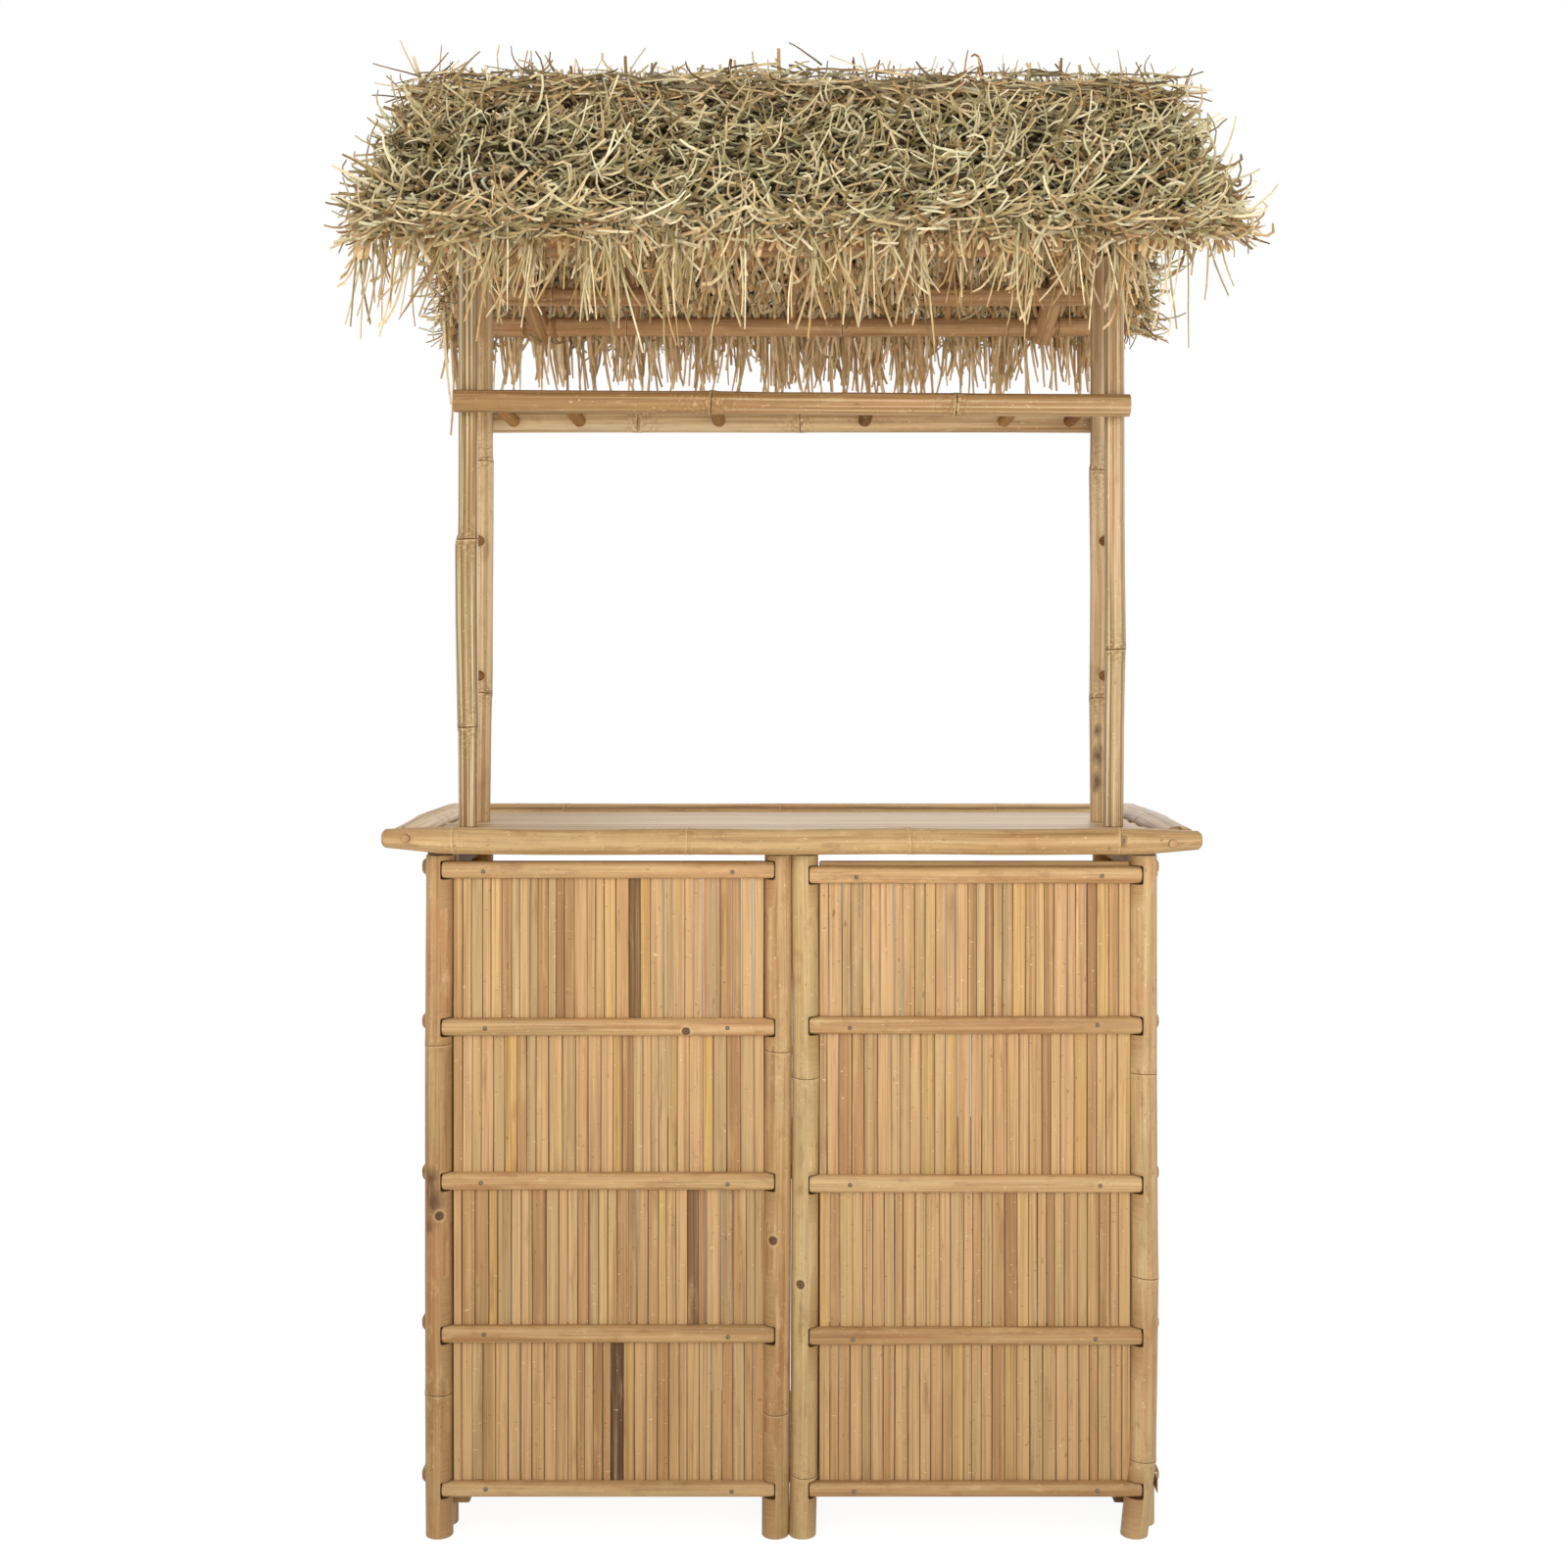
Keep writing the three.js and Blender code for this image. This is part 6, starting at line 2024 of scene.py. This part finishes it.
for sign, place in ((-1, "front"), (1, "rear")):
    draws = np.random.default_rng(SEED + 5 + sign)
    node = f"{place}_thatch"
    thatch_piece(node + "_bed", node, "short", under_straws(sign, draws), thatch_finish, draws)
    thatch_piece(node + "_slope", node, "curled", slope_straws(sign, draws), thatch_finish, draws)
    thatch_piece(node + "_ridge", node, "hanging", ridge_straws(sign, draws), edge_finish, draws)
    thatch_piece(node + "_ends", node, "hanging", end_straws(sign, draws), edge_finish, draws)

# %% [markdown]
# ## Fringes
# The fringe hangs in clumps. A clump is one place along the eave and one lean, and its straws fan out
# from both. The front fringe is ragged and long. The rear one, seen under the roof, is straighter and
# more even, and its straws are painted paler than the front's, as painted light for the light that
# shines through them. A few long straws hang at the corners, most of them on the left.

# %% Fringes
FRINGES = {
    "front": {
        "kind": "hanging", "count": 600, "clumps": 90, "half": 0.505, "lengths": (0.95, 2.25),
        "plumb": (0.5, 2.4), "spread": 20, "roots": (-12, 125), "dry": 0.0, "shade": (0.1, 1),
        "widths": (0.6, 0.95), "corners": {-1: 42, 1: 10}},
    # Drier and lighter straws: painted light for the light that shines through the rear fringe.
    "rear": {
        "kind": "straight", "count": 620, "clumps": 140, "half": 0.565, "lengths": (0.95, 1.5),
        "plumb": (1.8, 4.5), "spread": 8, "roots": (-12, 70), "dry": 0.6, "shade": (0.4, 1),
        "widths": (0.9, 1.5), "corners": {-1: 16, 1: 0}},
}


def fringe_straws(sign, place, draws):
    """Straws that hang from the eave in clumps, and longer ones below the corners."""
    look = FRINGES[place]
    sides = np.repeat([0.0, -1.0, 1.0], [look["count"], look["corners"][-1], look["corners"][1]])
    count = len(sides)
    corner = sides != 0
    clump = draws.integers(0, look["clumps"], count)
    middles = draws.uniform(-look["half"], look["half"], look["clumps"])[clump]
    aims = np.radians(draws.normal(0, look["spread"], look["clumps"]))[clump]
    xs = middles + draws.normal(0, 9, count) * MM
    headings = aims + np.radians(draws.normal(0, 9, count)) - (xs - middles) * 16
    outer = sides * draws.uniform(look["half"], THATCH_HALF + 8 * MM, count) + 8 * MM
    xs = np.where(corner, outer, xs)
    alongs = THATCH_ALONG - draws.uniform(*look["roots"], count) * MM
    ways = slope_ways(sign, headings, np.radians(draws.normal(0, 8, count)))
    plumb = draws.uniform(*look["plumb"], count) + np.where(corner, 1.8, 0.0)
    ways = ways + DOWN * plumb[:, None]
    short, long = look["lengths"]
    lengths = short + (long - short) * draws.random(count) ** 1.4
    lengths[corner] = draws.uniform(1.2, 2.2, corner.sum())
    turns = straw_turns(on_slope(sign, xs, alongs, draws.uniform(2, 27, count) * MM), ways,
                        np.tile([0.0, float(sign), 0.0], (count, 1)), draws.normal(0, 0.7, count),
                        lengths, draws.uniform(*look["widths"], count))
    marks = {"shade": draws.uniform(*look["shade"], count), "deep": draws.uniform(0.5, 1, count),
             "dry": np.clip(draws.uniform(look["dry"], look["dry"] + 0.7, count), 0, 1)}
    return turns, marks


print("fringes:", sorted(FRINGES))

# %% [markdown]
# ## The knotted underside
# Seen from below, the straws are knotted over cross strings, which leaves rows of small upside-down Vs.
# Each V is two short straws, and every other row is moved by half a step.

# %% The knotted underside, and laying the rest
KNOT_ROWS = 19
KNOT_PITCH = 14 * MM


def knot_straws(sign, draws):
    """Rows of small upside-down Vs, as the straws are knotted over cross strings on the underside."""
    columns = int(2 * THATCH_HALF / KNOT_PITCH)
    row, column, leg = np.meshgrid(np.arange(KNOT_ROWS), np.arange(columns), (-1, 1), indexing="ij")
    row, column, leg = (grid.ravel().astype(float) for grid in (row, column, leg))
    count = len(row)
    xs = -THATCH_HALF + (column + 0.5 + 0.5 * (row % 2)) * KNOT_PITCH + draws.normal(0, 1.5, count) * MM
    alongs = (row + 0.2) * THATCH_ALONG / KNOT_ROWS + draws.normal(0, 2, count) * MM
    headings = leg * np.radians(draws.normal(17, 7, count))
    pitches = np.radians(draws.normal(2, 4, count))
    turns = lying_turns(sign, on_slope(sign, xs, alongs, draws.uniform(0.5, 3.5, count) * MM),
                        headings, pitches, draws.uniform(-0.4, 0.4, count),
                        draws.uniform(0.36, 0.5, count), draws.uniform(1.1, 1.7, count),
                        face=-math.pi / 2)
    marks = {"shade": draws.uniform(0.3, 1, count), "deep": np.full(count, 0.85),
             "dry": draws.uniform(0.85, 1, count)}
    return turns, marks


for sign, place in ((-1, "front"), (1, "rear")):
    draws = np.random.default_rng(SEED + 15 + sign)
    node = f"{place}_thatch"
    thatch_piece(node + "_fringe", node, FRINGES[place]["kind"], fringe_straws(sign, place, draws),
                 edge_finish, draws)
    thatch_piece(node + "_knots", node, "short", knot_straws(sign, draws), edge_finish, draws)
for shapes in straws.values():
    for shape in shapes:
        bpy.data.objects.remove(shape)
print("thatch done")

# %% [markdown]
# ## Floor, backdrop and light
# The picture has a plain white ground. More light would bleach the bamboo, so the white comes from
# Light Path: rays from the camera, and those seen in gloss, find a white world, while the lamps and a
# softer world light the bar at a plain level. The floor is pale, keeps a soft shadow, and is not part
# of the object.

# %% Floor, backdrop and light
FLOOR_SIZE = 30
FLOOR_WHITE = 0.88
WORLD_LIGHT = 0.46
FLOOR_GLOW_SHARE = 0.8


def seen_directly(tree):
    """1 for rays that come from the camera, a glossy surface or through glass, else 0."""
    path = add_node(tree, "ShaderNodeLightPath")
    seen = times(tree, path.outputs["Is Camera Ray"], path.outputs["Is Glossy Ray"], "MAXIMUM")
    return times(tree, seen, path.outputs["Is Transmission Ray"], "MAXIMUM")


let_go()
bpy.ops.mesh.primitive_plane_add(size=FLOOR_SIZE)
floor = bpy.context.object
floor.name = "floor"
floor_finish, tree, shader = new_material("pale_floor")
shader.inputs["Base Color"].default_value = (FLOOR_WHITE, FLOOR_WHITE, FLOOR_WHITE, 1)
shader.inputs["Roughness"].default_value = 0.9
far_floor = (1 - FLOOR_GLOW_SHARE) * FLOOR_WHITE * WORLD_LIGHT
glow = add_node(tree, "ShaderNodeEmission", {
    "Color": (1, 1, 1, 1), "Strength": (1 - far_floor) / FLOOR_GLOW_SHARE})
mixer = add_node(tree, "ShaderNodeMixShader", {
    0: times(tree, seen_directly(tree), FLOOR_GLOW_SHARE),
    1: shader.outputs["BSDF"], 2: glow.outputs["Emission"]})
tree.links.new(mixer.outputs["Shader"], tree.nodes["Material Output"].inputs["Surface"])
floor.data.materials.append(floor_finish)

world = bpy.data.worlds.new("world")
world.use_nodes = True
bpy.context.scene.world = world
tree = world.node_tree
strength = times(tree, times(tree, seen_directly(tree), 1 - WORLD_LIGHT), WORLD_LIGHT, "ADD")
background = tree.nodes["Background"]
background.inputs["Color"].default_value = (1, 1, 1, 1)
tree.links.new(strength, background.inputs["Strength"])
print("floor and world are white to the camera")

# %% Lamps
LAMP_AIM = (0, 0, 1.1)
LAMPS = {
    "key": {"place": (-1.8, -3.6, 3.0), "size": 2.2, "power": 60},
    "front": {"place": (1.3, -3.9, 1.5), "size": 2.4, "power": 62},
    "top": {"place": (0.2, 0.6, 4.6), "size": 2.6, "power": 28},
    "back": {"place": (0.6, 3.6, 2.6), "size": 2.6, "power": 36},
    "under": {"place": (0.2, -3.2, 0.5), "size": 1.2, "power": 1.5, "aim": (0, 0.3, 2.0), "spread": 38},
}

for name, lamp in LAMPS.items():
    lamp_data = bpy.data.lights.new(name, "AREA")
    lamp_data.energy = lamp["power"]
    lamp_data.size = lamp["size"]
    light = bpy.data.objects.new(name, lamp_data)
    light.location = lamp["place"]
    lamp_data.spread = math.radians(lamp.get("spread", 180))
    aim = Vector(lamp.get("aim", LAMP_AIM)) - Vector(lamp["place"])
    light.rotation_euler = aim.to_track_quat("-Z", "Y").to_euler()
    bpy.context.scene.collection.objects.link(light)
bpy.context.scene.view_settings.view_transform = "Standard"
print("lamps:", sorted(LAMPS))

# %% [markdown]
# ## Sizes
# The dressed bar has to keep the frame's size, so the frame's box is printed. The strip and the nail
# head that all copies came from aren't part of the bar and are removed first.

# %% Sizes
for template in (strip_template, nail_template):
    bpy.data.objects.remove(template)
bpy.context.view_layer.update()
print("frame box", [round(v, 3) for corner in cad_box for v in corner])
